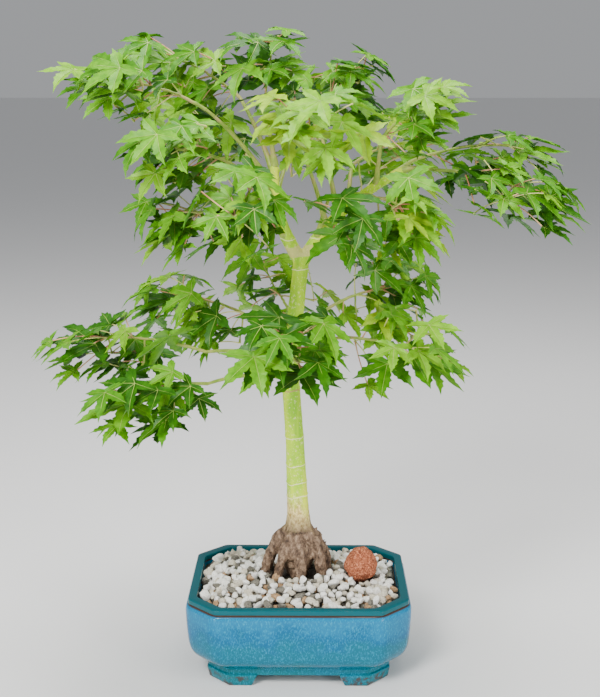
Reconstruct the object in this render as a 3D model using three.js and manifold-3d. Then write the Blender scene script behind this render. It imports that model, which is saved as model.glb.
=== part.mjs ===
// Potted palmate-leaved bonsai in a glazed chamfered pot. Millimetres, +Z up, front towards -Y.
// The work is done about the pot's centre and then moved so that the whole plant's box is centred.
import * as THREE from 'three';
import { mergeVertices } from 'three/addons/utils/BufferGeometryUtils.js';
import Module from 'manifold-3d';

const wasm = await Module();
wasm.setup();

// ---- driving dimensions ----
const GAP = 0.3;                 // clearance between touching pieces
const SLIVERS = [0.03, 0.04, 0.05, 0.07, 0.1, 0.14];   // lengths under which an edge is taken out, in turn
const GRAIN = 1e-3;              // corners nearer than this count as one
const SHORT = 0.05;              // edges shorter than this are drawn together
const THIN = 0.01;               // faces less high than this are turned
const POT_HEIGHT = 78;
const RIM = [100, 79.7, 25.6];   // half width, half depth and corner chamfer of the pot's rim
const WALL = 7;
const FOOT_HEIGHT = 10;
const POT_FLOOR = 17;            // height of the inner floor
const SOIL_TOP = 68;
const GRAVEL_EDGE = 74;          // gravel level at the wall
const GROUND = 83;               // gravel level under the trunk
const STONE = 5.6;               // half size of a gravel stone
// Rings of stones: share of the bed's half width and half depth, and how many stones.
const STONE_RINGS = [[0.86, 0.84, 16], [0.6, 0.6, 11]];
const ROCK = { at: [58, -8, 93.5], half: [16, 14.5, 17.5] };
const FORK = 384;                // height of the trunk's flat top, where the two limbs leave
// The trunk's axis as height, x and y, and its half thickness by height.
const TRUNK_LINE = [
  [83, -2, 0], [133, -0.5, 0], [211, -3.9, 0], [249, -6.4, 0], [273, -8, 0], [330, -3, 0], [FORK, 2.7, 0],
];
const TRUNK_GIRTH = [
  [83, 17], [96, 15], [112, 12.2], [126, 10.6], [150, 10.0], [205, 8.5], [268, 8.1], [360, 7.0], [FORK, 7.8],
];
const TRUNK_RINGS = [158.5, 171.6, 188.6, 215.4, 260];   // heights of the old leaf scars
const RING_SWELL = 0.7;          // how far the trunk swells at a scar
const RING_WIDTH = 4;
const ROOT_REACH = 29;           // from the trunk's axis to a root's foot
const ROOT_TOP = 127;            // height where the roots leave the trunk
// Each root's turn in degrees, share of the reach, and half thickness at its knee.
const ROOTS = [
  [-172, 1.05, 6.6], [-128, 0.92, 5.8], [-84, 0.84, 7.4], [-32, 0.98, 6.2], [8, 1.02, 7.2], [66, 0.9, 6.4],
  [122, 0.95, 6.8],
];
const LIMBS = {
  L: { name: 'limb_left', line: [[2.7, 0, 376], [-26, -8, 418], [-21, -8, 462]], girth: [6.6, 4.2] },
  R: { name: 'limb_right', line: [[2.7, 0, 376], [28, 6, 424], [92, 2, 458]], girth: [6.2, 3.6] },
};
const BOUGH = [2.6, 1.9];        // half thickness at a bough's start and end
const LOW_BOUGHS = [268, 60];    // trunk height of the lowest bough, and the span of trunk they share

// A leaf: five lobes and the notches between them, as angle in degrees and share of its length.
const LEAF_RING = [[0, 1.0], [23, 0.46], [48, 0.92], [76, 0.38], [104, 0.66], [180, 0.1]];
const LEAF_SAG = 0.16;           // how far a lobe's tip sags, as a share of its length
const LEAF_THICK = 2.2;          // at the blade's raised middle
const LEAF_LENGTH = [32, 47];
const PETIOLE = [12, 26];        // stalk length
const LIFT = [-0.1, 0.7];        // how steeply a stalk rises
const LEAF_APART = 17;           // least distance between the blades' middles
const LEAF_NEAR = 2;             // least distance between a blade and another's lobes
const LIMB_NEAR = 2;             // least distance between a leaf or twig and a limb
const HUB_SHARE = 0.86;          // a blade's middle keeps to this much of the space
const LEAF_ROLL = 22;            // degrees either way
const LEAF_FACE = 18;            // a leaf that points sideways turns its face this much to the front
const LEAF_SWAY = 30;
const TRIES = 600;               // places tried for twigs in a mass
const TRIES_AT_NODE = 6;         // leaves tried on each side of a twig's end
const TWIG_FAR = 46;             // longest twig
const TWIG_NEAR = 9;             // nearer than this the leaves stand on the older joint itself
const STALK_MOST = 52;           // longest stalk of a leaf that stands alone
const WALL_GAP = 0.7;            // each space ends this far short of the wall to the next
// The fork is open to the front: seen from FRONT, no leaf hides this oval round it, given as x and z.
const FRONT = [10, -1100, 540];
const FORK_OPEN = { at: [6, 375], half: [23, 34] };
const STEM = [2.1, 1.6];         // corner radius of a three-sided stem and twig, at start and end
const TWIG = [1.5, 1.3];
const TWIG_PAST = 1.8;           // a twig runs on past its last joint, and the stalks' roots are sunk in it

// Foliage masses. source: limb (L, R) or trunk (T), at: share along it, entry: where the bough ends,
// reach: where the leading leaf's tip ends, spread and rise: half width and half height of its space.
const MASSES = [
  { name: 'far_left', source: 'L', at: 0.78, entry: [-78, -34, 511], reach: [-200, -52, 531],
    spread: 50, rise: 34, lead: 60, droop: [2, 34], leaves: 14, seed: 2 },
  { name: 'top_left', source: 'L', at: 0.92, entry: [-52, 16, 520], reach: [-164, 34, 563],
    spread: 62, rise: 40, above: -6, lead: 52, droop: [2, 30], leaves: 14, seed: 16 },
  { name: 'top', source: 'L', at: 1.0, entry: [-28, -10, 505], reach: [-34, -30, 575],
    spread: 60, rise: 58, lead: 42, droop: [2, 34], leaves: 14, seed: 6 },
  { name: 'top_right', source: 'R', at: 0.46, entry: [17, 8, 498], reach: [80, -8, 547],
    spread: 66, rise: 44, above: -2, lead: 50, droop: [2, 34], leaves: 14, seed: 5 },
  { name: 'right_top', source: 'R', at: 0.8, entry: [72, -10, 486], reach: [154, -35, 520],
    spread: 56, rise: 38, above: -4, lead: 54, droop: [2, 34], leaves: 14, seed: 8 },
  { name: 'left_mid', source: 'L', at: 0.56, entry: [-56, -52, 467], reach: [-149, -98, 472],
    spread: 62, rise: 40, lead: 46, droop: [5, 50], leaves: 14, seed: 12 },
  { name: 'left_low', source: 'L', at: 0.22, entry: [-45, -36, 432], reach: [-131, -76, 396],
    spread: 60, rise: 48, lead: 48, droop: [15, 50], leaves: 14, seed: 18 },
  { name: 'front_left', source: 'L', at: 0.36, entry: [-31, -44, 456], reach: [-49, -150, 416],
    spread: 70, rise: 52, lead: 48, droop: [20, 55], leaves: 14, seed: 6 },
  { name: 'front_right', source: 'R', at: 0.22, entry: [27, -32, 438], reach: [42, -125, 384],
    spread: 66, rise: 56, lead: 48, droop: [20, 55], leaves: 14, seed: 14 },
  { name: 'right_low', source: 'R', at: 0.66, entry: [66, -34, 437], reach: [119, -80, 397],
    spread: 60, rise: 50, lead: 46, droop: [15, 50], leaves: 14, seed: 18 },
  { name: 'right_mid', source: 'R', at: 0.92, entry: [109, 28, 467], reach: [251, 50, 465],
    spread: 60, rise: 32, above: -8, lead: 52, droop: [2, 34], leaves: 12, seed: 1 },
  { name: 'far_right', source: 'R', at: 1.0, entry: [119, -12, 459], reach: [250, -45, 409],
    spread: 56, rise: 36, lead: 66, droop: [8, 40], leaves: 14, seed: 4 },
  { name: 'centre', source: 'R', at: 0.34, entry: [6, -24, 468], reach: [14, -135, 498],
    spread: 80, rise: 50, lead: 48, droop: [10, 50], leaves: 11, seed: 14 },
  { name: 'back_left', source: 'L', at: 0.46, entry: [-43, 38, 464], reach: [-121, 165, 476],
    spread: 70, rise: 56, lead: 50, droop: [4, 40], leaves: 10, seed: 14 },
  { name: 'back', source: 'L', at: 0.66, entry: [-7, 45, 473], reach: [10, 185, 505],
    spread: 72, rise: 58, lead: 50, droop: [4, 40], leaves: 10, seed: 17 },
  { name: 'back_right', source: 'R', at: 0.56, entry: [48, 48, 459], reach: [131, 170, 466],
    spread: 72, rise: 56, lead: 50, droop: [4, 40], leaves: 10, seed: 14 },
  { name: 'low_far_left', source: 'T', at: 0.27, entry: [-82, -26, 300], reach: [-231, -46, 306],
    spread: 56, rise: 38, above: -8, lead: 54, droop: [10, 50], leaves: 11, seed: 11 },
  { name: 'low_left_down', source: 'T', at: 0.03, entry: [-79, -50, 277], reach: [-183, -112, 255],
    spread: 60, rise: 42, above: -6, lead: 50, droop: [15, 50], leaves: 8, seed: 9 },
  { name: 'low_left', source: 'T', at: 0.57, entry: [-43, 24, 321], reach: [-165, 74, 329],
    spread: 66, rise: 44, above: -8, lead: 48, droop: [10, 50], leaves: 13, seed: 19 },
  { name: 'low_front', source: 'T', at: 0.4, entry: [-13, -40, 307], reach: [17, -130, 275],
    spread: 84, rise: 42, above: 14, lead: 48, droop: [15, 50], leaves: 11, seed: 7 },
  { name: 'low_right', source: 'T', at: 0.2, entry: [35, -26, 313], reach: [144, -70, 284],
    spread: 66, rise: 46, lead: 52, droop: [15, 50], leaves: 11, seed: 5 },
  { name: 'low_right_up', source: 'T', at: 0.63, entry: [36, 22, 336], reach: [131, 60, 333],
    spread: 60, rise: 44, lead: 48, droop: [10, 50], leaves: 14, seed: 16 },
  { name: 'low_back', source: 'T', at: 0.83, entry: [-7, 36, 319], reach: [-39, 150, 326],
    spread: 76, rise: 54, lead: 50, droop: [10, 50], leaves: 10, seed: 10 },
];

// ---- small vector helpers ----
const add = (a, b) => [a[0] + b[0], a[1] + b[1], a[2] + b[2]];
const sub = (a, b) => [a[0] - b[0], a[1] - b[1], a[2] - b[2]];
const mul = (a, k) => [a[0] * k, a[1] * k, a[2] * k];
const dot = (a, b) => a[0] * b[0] + a[1] * b[1] + a[2] * b[2];
const cross = (a, b) => [a[1] * b[2] - a[2] * b[1], a[2] * b[0] - a[0] * b[2], a[0] * b[1] - a[1] * b[0]];
const size = (a) => Math.sqrt(dot(a, a));
const unit = (a) => mul(a, 1 / size(a));
const rad = (d) => d * Math.PI / 180;
const UP = [0, 0, 1];

function seeded(seed) {
  let a = seed | 0;
  return (low = 0, high = 1) => {
    a = (a + 0x6D2B79F5) | 0;
    let t = Math.imul(a ^ (a >>> 15), 1 | a);
    t = (t + Math.imul(t ^ (t >>> 7), 61 | t)) ^ t;
    return low + (high - low) * (((t ^ (t >>> 14)) >>> 0) / 4294967296);
  };
}

const bend = (a, b, c, t) => {
  const u = 1 - t;
  return [0, 1, 2].map((i) => u * u * a[i] + 2 * u * t * b[i] + t * t * c[i]);
};

function along(table, z) {
  let i = 0;
  while (i < table.length - 2 && z > table[i + 1][0]) i++;
  const [p, q] = [table[i], table[i + 1]];
  const t = Math.max(0, Math.min(1, (z - p[0]) / (q[0] - p[0])));
  return p.slice(1).map((v, k) => v + (q[k + 1] - v) * t);
}

// ---- solids ----
function solid(geometry) {
  geometry.deleteAttribute('normal');
  geometry.deleteAttribute('uv');
  const g = mergeVertices(geometry, 1e-4);
  return new wasm.Manifold(new wasm.Mesh({
    numProp: 3,
    vertProperties: new Float32Array(g.attributes.position.array),
    triVerts: new Uint32Array(g.index.array),
  }));
}

const gather = (list) => list.reduce((all, one) => all.add(one));

// Whether two edges of a solid fall on each other, as where two leaves just touch along a line.
function pinched(m) {
  const { vertProperties, triVerts } = m.getMesh();
  const place = (v) => [0, 1, 2].map((k) => Math.round(vertProperties[3 * v + k] / GRAIN)).join();
  const uses = new Map();
  for (let t = 0; t < triVerts.length; t += 3) {
    for (let k = 0; k < 3; k++) {
      const edge = [place(triVerts[t + k]), place(triVerts[t + (k + 1) % 3])].sort().join(' ');
      uses.set(edge, (uses.get(edge) ?? 0) + 1);
    }
  }
  return [...uses.values()].some((n) => n !== 2);
}

// The shell with its shortest edges drawn together and the long edge of each flattest face turned, so that
// no face is too small or too thin to hold. Both steps keep the shell closed.
function tidied(m) {
  const { vertProperties, triVerts } = m.getMesh();
  const at = (v) => Array.from(vertProperties.subarray(3 * v, 3 * v + 3));
  const corners = (f, k) => [f[k], f[(k + 1) % 3], f[(k + 2) % 3]];
  const far = (a, b) => size(sub(at(a), at(b)));
  const height = ([a, b, c]) => size(cross(sub(at(b), at(a)), sub(at(c), at(a)))) / far(a, b);
  let faces = [];
  for (let t = 0; t < triVerts.length; t += 3) faces.push(Array.from(triVerts.subarray(t, t + 3)));
  const neighbours = (v) => new Set(faces.filter((f) => f.includes(v)).flat().filter((w) => w !== v));
  const shortEdge = () => {
    for (const f of faces) {
      for (let k = 0; k < 3; k++) {
        const [a, b] = corners(f, k);
        if (far(a, b) >= SHORT) continue;
        const shared = [...neighbours(a)].filter((v) => neighbours(b).has(v));
        if (shared.length === 2) return [a, b];
      }
    }
    return null;
  };
  for (let edge = shortEdge(); edge; edge = shortEdge()) {
    const [kept, gone] = edge;
    faces = faces.map((f) => f.map((v) => (v === gone ? kept : v))).filter((f) => new Set(f).size === 3);
  }
  for (let i = 0; i < faces.length; i++) {
    const turns = [0, 1, 2].map((k) => corners(faces[i], k));
    const [a, b, c] = turns.sort((f, g) => far(g[0], g[1]) - far(f[0], f[1]))[0];
    if (height([a, b, c]) >= THIN) continue;
    const j = faces.findIndex((f, n) => n !== i && f.includes(a) && f.includes(b));
    const d = faces[j].find((v) => v !== a && v !== b);
    if (neighbours(c).has(d)) continue;
    faces[i] = [a, d, c];
    faces[j] = [d, b, c];
  }
  const used = [...new Set(faces.flat())];
  const place = new Map(used.map((v, i) => [v, i]));
  return new wasm.Manifold(new wasm.Mesh({
    numProp: 3,
    vertProperties: new Float32Array(used.flatMap(at)),
    triVerts: new Uint32Array(faces.flat().map((v) => place.get(v))),
  }));
}

// The largest closed shell: a cavity that fusing sealed is filled by leaving its shell out, and so is scrap.
// Short edges are taken out, and a few more of them where two edges would otherwise fall on each other.
function whole(m) {
  let best;
  for (const sliver of SLIVERS) {
    best = tidied(m.simplify(sliver).decompose().reduce((a, b) => (a.volume() > b.volume() ? a : b)));
    if (!pinched(best)) break;
  }
  return best;
}

const group = new THREE.Group();

function piece(name, manifold, colour, roughness, metalness = 0) {
  const mesh = manifold.getMesh();
  const g = new THREE.BufferGeometry();
  g.setAttribute('position', new THREE.BufferAttribute(new Float32Array(mesh.vertProperties), 3));
  g.setIndex(Array.from(mesh.triVerts));
  g.computeVertexNormals();
  const one = new THREE.Mesh(g, new THREE.MeshStandardMaterial({ color: colour, roughness, metalness }));
  one.name = name;
  group.add(one);
}

// A round tapering limb: a cylinder whose rings are moved onto the points of a line.
function limb(points, radii, sides) {
  const n = points.length - 1;
  const g = new THREE.CylinderGeometry(1, 1, 1, sides, n);
  const p = g.attributes.position;
  const ways = points.map((q, i) => unit(sub(points[Math.min(n, i + 1)], points[Math.max(0, i - 1)])));
  const frames = [];
  let u = Math.abs(ways[0][0]) < 0.8 ? [1, 0, 0] : [0, 1, 0];
  for (const w of ways) {
    u = unit(sub(u, mul(w, dot(u, w))));
    frames.push([u, cross(u, w)]);
  }
  for (let i = 0; i < p.count; i++) {
    const k = Math.round((p.getY(i) + 0.5) * n);
    const [a, b] = frames[k];
    const q = add(points[k], add(mul(a, p.getX(i) * radii[k]), mul(b, p.getZ(i) * radii[k])));
    p.setXYZ(i, ...q);
  }
  return solid(g);
}

const taper = (n, a, b) => Array.from({ length: n }, (_, i) => a + (b - a) * i / (n - 1));

// A stack of chamfered oblongs: an extruded one whose rings are moved to the sizes of a profile.
function oblong(profile) {
  const n = profile.length - 1;
  const [w, d, c] = [3, 2, 1];
  const outline = [
    [w, c - d], [w, d - c], [w - c, d], [c - w, d], [-w, d - c], [-w, c - d], [c - w, -d], [w - c, -d],
  ];
  const shape = new THREE.Shape(outline.map(([x, y]) => new THREE.Vector2(x, y)));
  const g = new THREE.ExtrudeGeometry(shape, { depth: n, steps: n, bevelEnabled: false });
  const p = g.attributes.position;
  for (let i = 0; i < p.count; i++) {
    const [z, hw, hd, ch] = profile[Math.round(p.getZ(i))];
    const [x, y] = [p.getX(i), p.getY(i)];
    const onSide = Math.abs(Math.abs(x) - w) < 1e-6;
    p.setXYZ(i, Math.sign(x) * (onSide ? hw : hw - ch), Math.sign(y) * (onSide ? hd - ch : hd), z);
  }
  return solid(g);
}

function box(low, high) {
  const g = new THREE.BoxGeometry(high[0] - low[0], high[1] - low[1], high[2] - low[2]);
  g.translate((low[0] + high[0]) / 2, (low[1] + high[1]) / 2, (low[2] + high[2]) / 2);
  return solid(g);
}

// A rough lump: a subdivided icosahedron, or an octahedron for a stone, its corners moved by a seeded rule.
function lump(at, half, detail, rough, draw) {
  const g = detail ? new THREE.IcosahedronGeometry(1, detail) : new THREE.OctahedronGeometry(1, 0);
  g.rotateZ(draw(0, 6.28));
  g.rotateX(draw(-0.5, 0.5));
  g.deleteAttribute('normal');
  g.deleteAttribute('uv');
  const m = mergeVertices(g, 1e-4);
  const p = m.attributes.position;
  for (let i = 0; i < p.count; i++) {
    const k = 1 + draw(-rough, rough);
    const [x, y, z] = [p.getX(i), p.getY(i), p.getZ(i)].map((v, j) => at[j] + v * half[j] * k);
    p.setXYZ(i, x, y, z);
  }
  return solid(m);
}

// ---- pot: lip, groove, bulging body, plinth and four corner feet ----
const ring = (z, out) => [z, RIM[0] + out, RIM[1] + out * 0.8, RIM[2] + out * 0.35];
const body = oblong([
  ring(FOOT_HEIGHT, -16), ring(15.5, -16), ring(18, -13), ring(22, -6.2), ring(27, -2), ring(34, 0.3),
  ring(46, 1.6), ring(58, 2.4), ring(67, 2.6), ring(71.5, 1.4), ring(72.6, 0), ring(POT_HEIGHT, 0),
]);
const inner = (z, out) => [z, RIM[0] - WALL + out, RIM[1] - WALL + out, RIM[2] - 3 + out * 0.4];
const hollow = oblong([
  inner(POT_FLOOR, -16), inner(24, -13), inner(36, -4), inner(50, 0), inner(POT_HEIGHT + 1, 0),
]);
const footOuter = oblong([[0, 82, 68, 19.5], [FOOT_HEIGHT + 1, 84, 70, 20]]);
const footInner = oblong([[-1, 66, 52, 17], [FOOT_HEIGHT, 65, 51, 17]]);
const archX = oblong([[-1, 42, 90, 3], [FOOT_HEIGHT, 37, 90, 3]]);
const archY = oblong([[-1, 100, 25, 3], [FOOT_HEIGHT, 100, 21, 3]]);
const feet = footOuter.subtract(footInner).subtract(archX).subtract(archY);
piece('pot', whole(body.subtract(hollow).add(feet)), '#1f8fb8', 0.16);

// ---- soil fills the pot below the gravel ----
const fill = (z, out) => inner(z, out - GAP);
const soil = oblong([
  fill(POT_FLOOR + GAP, -16), fill(24, -13), fill(36, -4), fill(50, 0), fill(SOIL_TOP, 0),
]);
piece('soil', soil, '#4a3626', 0.95);

// ---- trunk: tapering stem with scar rings, standing on spread roots ----
function trunkGirth(z) {
  const swell = TRUNK_RINGS.reduce((s, h) => s + RING_SWELL * Math.exp(-(((z - h) / RING_WIDTH) ** 2)), 0);
  return along(TRUNK_GIRTH, z)[0] + swell;
}
function trunkSolid(grow) {
  const heights = [GROUND - 4];
  for (let z = 98; z < FORK - 8; z += 19) heights.push(z);
  heights.push(FORK + (grow ? GAP : 0));
  const line = heights.map((z) => [...along(TRUNK_LINE, z), z]);
  let all = limb(line, heights.map((z) => trunkGirth(z) + grow), 10);
  for (const [turn, far, thick] of ROOTS) {
    const [c, s] = [Math.cos(rad(turn)), Math.sin(rad(turn))];
    const reach = ROOT_REACH * far;
    const from = [-1 + 3 * c, 3 * s, ROOT_TOP];
    const knee = [-1 + reach * 0.92 * c, reach * 0.82 * s, ROOT_TOP - 11];
    const foot = [-2 + reach * c, reach * s * 0.82, GROUND - 6];
    const path = [0, 1, 2, 3].map((i) => bend(from, knee, foot, i / 3));
    all = all.add(limb(path, [6, thick, thick * 0.95, thick * 0.78].map((r) => r + grow), 6));
  }
  return all.subtract(box([-90, -90, 0], [90, 90, GROUND + (grow ? -GAP : GAP)]));
}
const trunk = whole(trunkSolid(0));
const trunkRoom = trunkSolid(GAP);
piece('trunk', trunk, '#9aa563', 0.75);

// ---- lava rock and gravel ----
const rock = (grow) => lump(ROCK.at, ROCK.half.map((h) => h + grow), 2, 0.055, seeded(7));
piece('lava_rock', rock(0), '#b5583a', 0.95);

const mound = oblong([
  fill(SOIL_TOP + GAP, 0), fill(GRAVEL_EDGE, 0),
  [GRAVEL_EDGE + 2.5, 84, 64, 26], [GRAVEL_EDGE + 6, 60, 48, 24],
  [GROUND, 40, 34, 18],
]);
const stones = [mound];
const pick = seeded(21);
for (const [sx, sy, count] of STONE_RINGS) {
  for (let i = 0; i < count; i++) {
    const turn = 2 * Math.PI * (i + pick(0.1, 0.9)) / count;
    const [x, y] = [Math.cos(turn), Math.sin(turn)];
    const square = Math.max(Math.abs(x), Math.abs(y)) ** -0.75;
    const at = [x * square * sx * 88 * 0.98, y * square * sy * 67 * 0.98];
    const [ax, ay] = [Math.abs(at[0]), Math.abs(at[1])];
    const far = Math.max(ax / 84, ay / 64, (ax + ay) / 130);
    const level = GRAVEL_EDGE + (GROUND - GRAVEL_EDGE) * Math.max(0, Math.min(1, (1.03 - far) / 0.6));
    const half = STONE * pick(0.85, 1.25);
    stones.push(lump([...at, level + 0.6], [half * pick(1.0, 1.35), half * 1.1, half * 0.95], 0, 0.12, pick));
  }
}
const inPot = oblong([fill(SOIL_TOP + GAP, 0), fill(GROUND + 12, 0)]);
const bed = gather(stones).intersect(inPot).subtract(trunkRoom).subtract(rock(GAP));
piece('gravel', whole(bed), '#cfcac0', 0.9);

// ---- two limbs from the fork ----
const limbLine = (l, n = 5) => Array.from({ length: n + 1 }, (_, i) => bend(...l.line, i / n));
function limbSolid(l, grow) {
  const line = limbLine(l);
  if (grow) {
    const n = line.length - 1;
    line[n] = add(line[n], mul(unit(sub(line[n], line[n - 1])), GAP));
  }
  return limb(line, taper(line.length, l.girth[0] + grow, l.girth[1] + grow), 8);
}
const rooms = [trunkRoom];
for (const l of Object.values(LIMBS)) {
  piece(l.name, whole(rooms.reduce((m, r) => m.subtract(r), limbSolid(l, 0))), '#93a55c', 0.7);
  rooms.push(limbSolid(l, GAP));
}

// ---- foliage: spaces, walls between them, and the seeded rule that fills each one ----
function frameOf(m) {
  const fwd = unit(sub(m.reach, m.entry));
  const side = unit(cross(UP, fwd));
  return [fwd, side, cross(fwd, side)];
}

function spaceOf(m) {
  const [fwd, side, top] = frameOf(m);
  const half = 0.5 * size(sub(m.reach, m.entry));
  const mid = add(mul(add(m.entry, m.reach), 0.5), mul(top, m.above ?? 0));
  return { mid, axes: [[fwd, half * 1.12], [side, m.spread], [top, m.rise]], walls: [] };
}

const span = (sp, way) => Math.sqrt(sp.axes.reduce((s, [a, r]) => s + (dot(a, way) * r) ** 2, 0));

function makeLeaf(at, heading, droop, roll, length, node) {
  const k = Math.sqrt(heading[0] ** 2 + heading[1] ** 2);
  const h = [heading[0] / k, heading[1] / k];
  const [c, s] = [Math.cos(rad(droop)), Math.sin(rad(droop))];
  const x = [h[0] * c, h[1] * c, -s];
  const z = [h[0] * s, h[1] * s, c];
  const y = cross(z, x);
  const turn = rad(roll + LEAF_FACE * h[0]);
  const [cr, sr] = [Math.cos(turn), Math.sin(turn)];
  return { at, x, y: add(mul(y, cr), mul(z, sr)), z: add(mul(z, cr), mul(y, -sr)), length, node };
}

function leafPoints(leaf) {
  const half = LEAF_RING.slice(1, -1);
  const all = [...LEAF_RING, ...half.reverse().map(([a, r]) => [-a, r])];
  return all.map(([a, r]) => {
    const [c, s] = [Math.cos(rad(a)) * r * leaf.length, Math.sin(rad(a)) * r * leaf.length];
    const flat = add(mul(leaf.x, c), mul(leaf.y, s));
    return add(leaf.at, add(flat, mul(leaf.z, -LEAF_SAG * r * r * leaf.length)));
  });
}

// Points along a leaf's lobes, and the test whether any of them comes near another leaf's blade.
function probes(leaf) {
  const out = [leaf.at, mul(add(leaf.at, leaf.node), 0.5)];
  for (const [a, r] of [[0, 1.0], [48, 0.92], [-48, 0.92], [104, 0.66], [-104, 0.66]]) {
    for (const k of [0.35, 0.7, 1.0]) {
      const q = r * k;
      const [c, s] = [Math.cos(rad(a)) * q * leaf.length, Math.sin(rad(a)) * q * leaf.length];
      const flat = add(mul(leaf.x, c), mul(leaf.y, s));
      out.push(add(leaf.at, add(flat, mul(leaf.z, -LEAF_SAG * q * q * leaf.length))));
    }
  }
  return out;
}

const cuts = (points, leaf, near = LEAF_NEAR) => points.some((p) => {
  const d = sub(p, leaf.at);
  const [u, v, w] = [dot(d, leaf.x), dot(d, leaf.y), dot(d, leaf.z)];
  const rr = u * u + v * v;
  const beside = rr < (0.8 * leaf.length) ** 2 && u > -0.3 * leaf.length;
  return beside && Math.abs(w + LEAF_SAG * rr / leaf.length) < near;
});

function hidesFork(points) {
  return points.some((p) => {
    if (p[1] > -6) return false;
    const seen = add(FRONT, mul(sub(p, FRONT), FRONT[1] / (FRONT[1] - p[1])));
    const u = (seen[0] - FORK_OPEN.at[0]) / FORK_OPEN.half[0];
    const v = (seen[2] - FORK_OPEN.at[1]) / FORK_OPEN.half[1];
    return u * u + v * v < 1;
  });
}

// The stem and the leading leaf, whose middle tip lies on the mass's reach.
function leader(m) {
  const tip = unit(add(frameOf(m)[0], mul(UP, -0.12)));
  const hub = sub(m.reach, mul(tip, m.lead));
  const end = sub(hub, mul(unit(add(tip, mul(UP, -0.35))), 12));
  const droop = (Math.asin(-tip[2]) - Math.atan(LEAF_SAG)) * 180 / Math.PI;
  const long = size(sub(end, m.entry));
  const middle = add(mul(add(m.entry, end), 0.5), mul(UP, 0.1 * long));
  const stem = [0, 1, 2, 3, 4].map((i) => bend(m.entry, middle, end, i / 4));
  return [makeLeaf(hub, tip, droop, 0, m.lead, end), stem];
}

// Each pair of spaces is parted by a flat wall that leaves both stems and both leading leaves on their
// own side.
function setWalls(masses) {
  for (const m of masses) {
    const [leaf, stem] = leader(m);
    m.kept = [...leafPoints(leaf), leaf.at, ...stem];
  }
  for (const a of masses) {
    for (const b of masses) {
      if (a === b) continue;
      const d = sub(b.space.mid, a.space.mid);
      const way = mul(d, 1 / size(d));
      const [ra, rb] = [span(a.space, way), span(b.space, way)];
      let cut = size(d) * ra / (ra + rb);
      const low = Math.max(...a.kept.map((p) => dot(sub(p, a.space.mid), way))) + 2;
      const high = Math.min(...b.kept.map((p) => dot(sub(p, a.space.mid), way))) - 2;
      cut = low > high ? (low + high) / 2 : Math.max(low, Math.min(high, cut));
      a.space.walls.push([way, dot(a.space.mid, way) + cut - WALL_GAP]);
    }
  }
}

function inside(sp, p, share) {
  if (share) {
    const d = sub(p, sp.mid);
    if (sp.axes.reduce((s, [a, r]) => s + (dot(d, a) / r) ** 2, 0) > share) return false;
  }
  return sp.walls.every(([way, k]) => dot(p, way) <= k);
}

function clear(p, limbs, gap) {
  return limbs.every(([a, b, r]) => {
    const ab = sub(b, a);
    const t = Math.max(0, Math.min(1, dot(sub(p, a), ab) / dot(ab, ab)));
    const q = sub(p, add(a, mul(ab, t)));
    return dot(q, q) >= (r + gap) ** 2;
  });
}

function turned(v, degrees) {
  const [c, s] = [Math.cos(rad(degrees)), Math.sin(rad(degrees))];
  return [v[0] * c - v[1] * s, v[0] * s + v[1] * c, v[2]];
}

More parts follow.
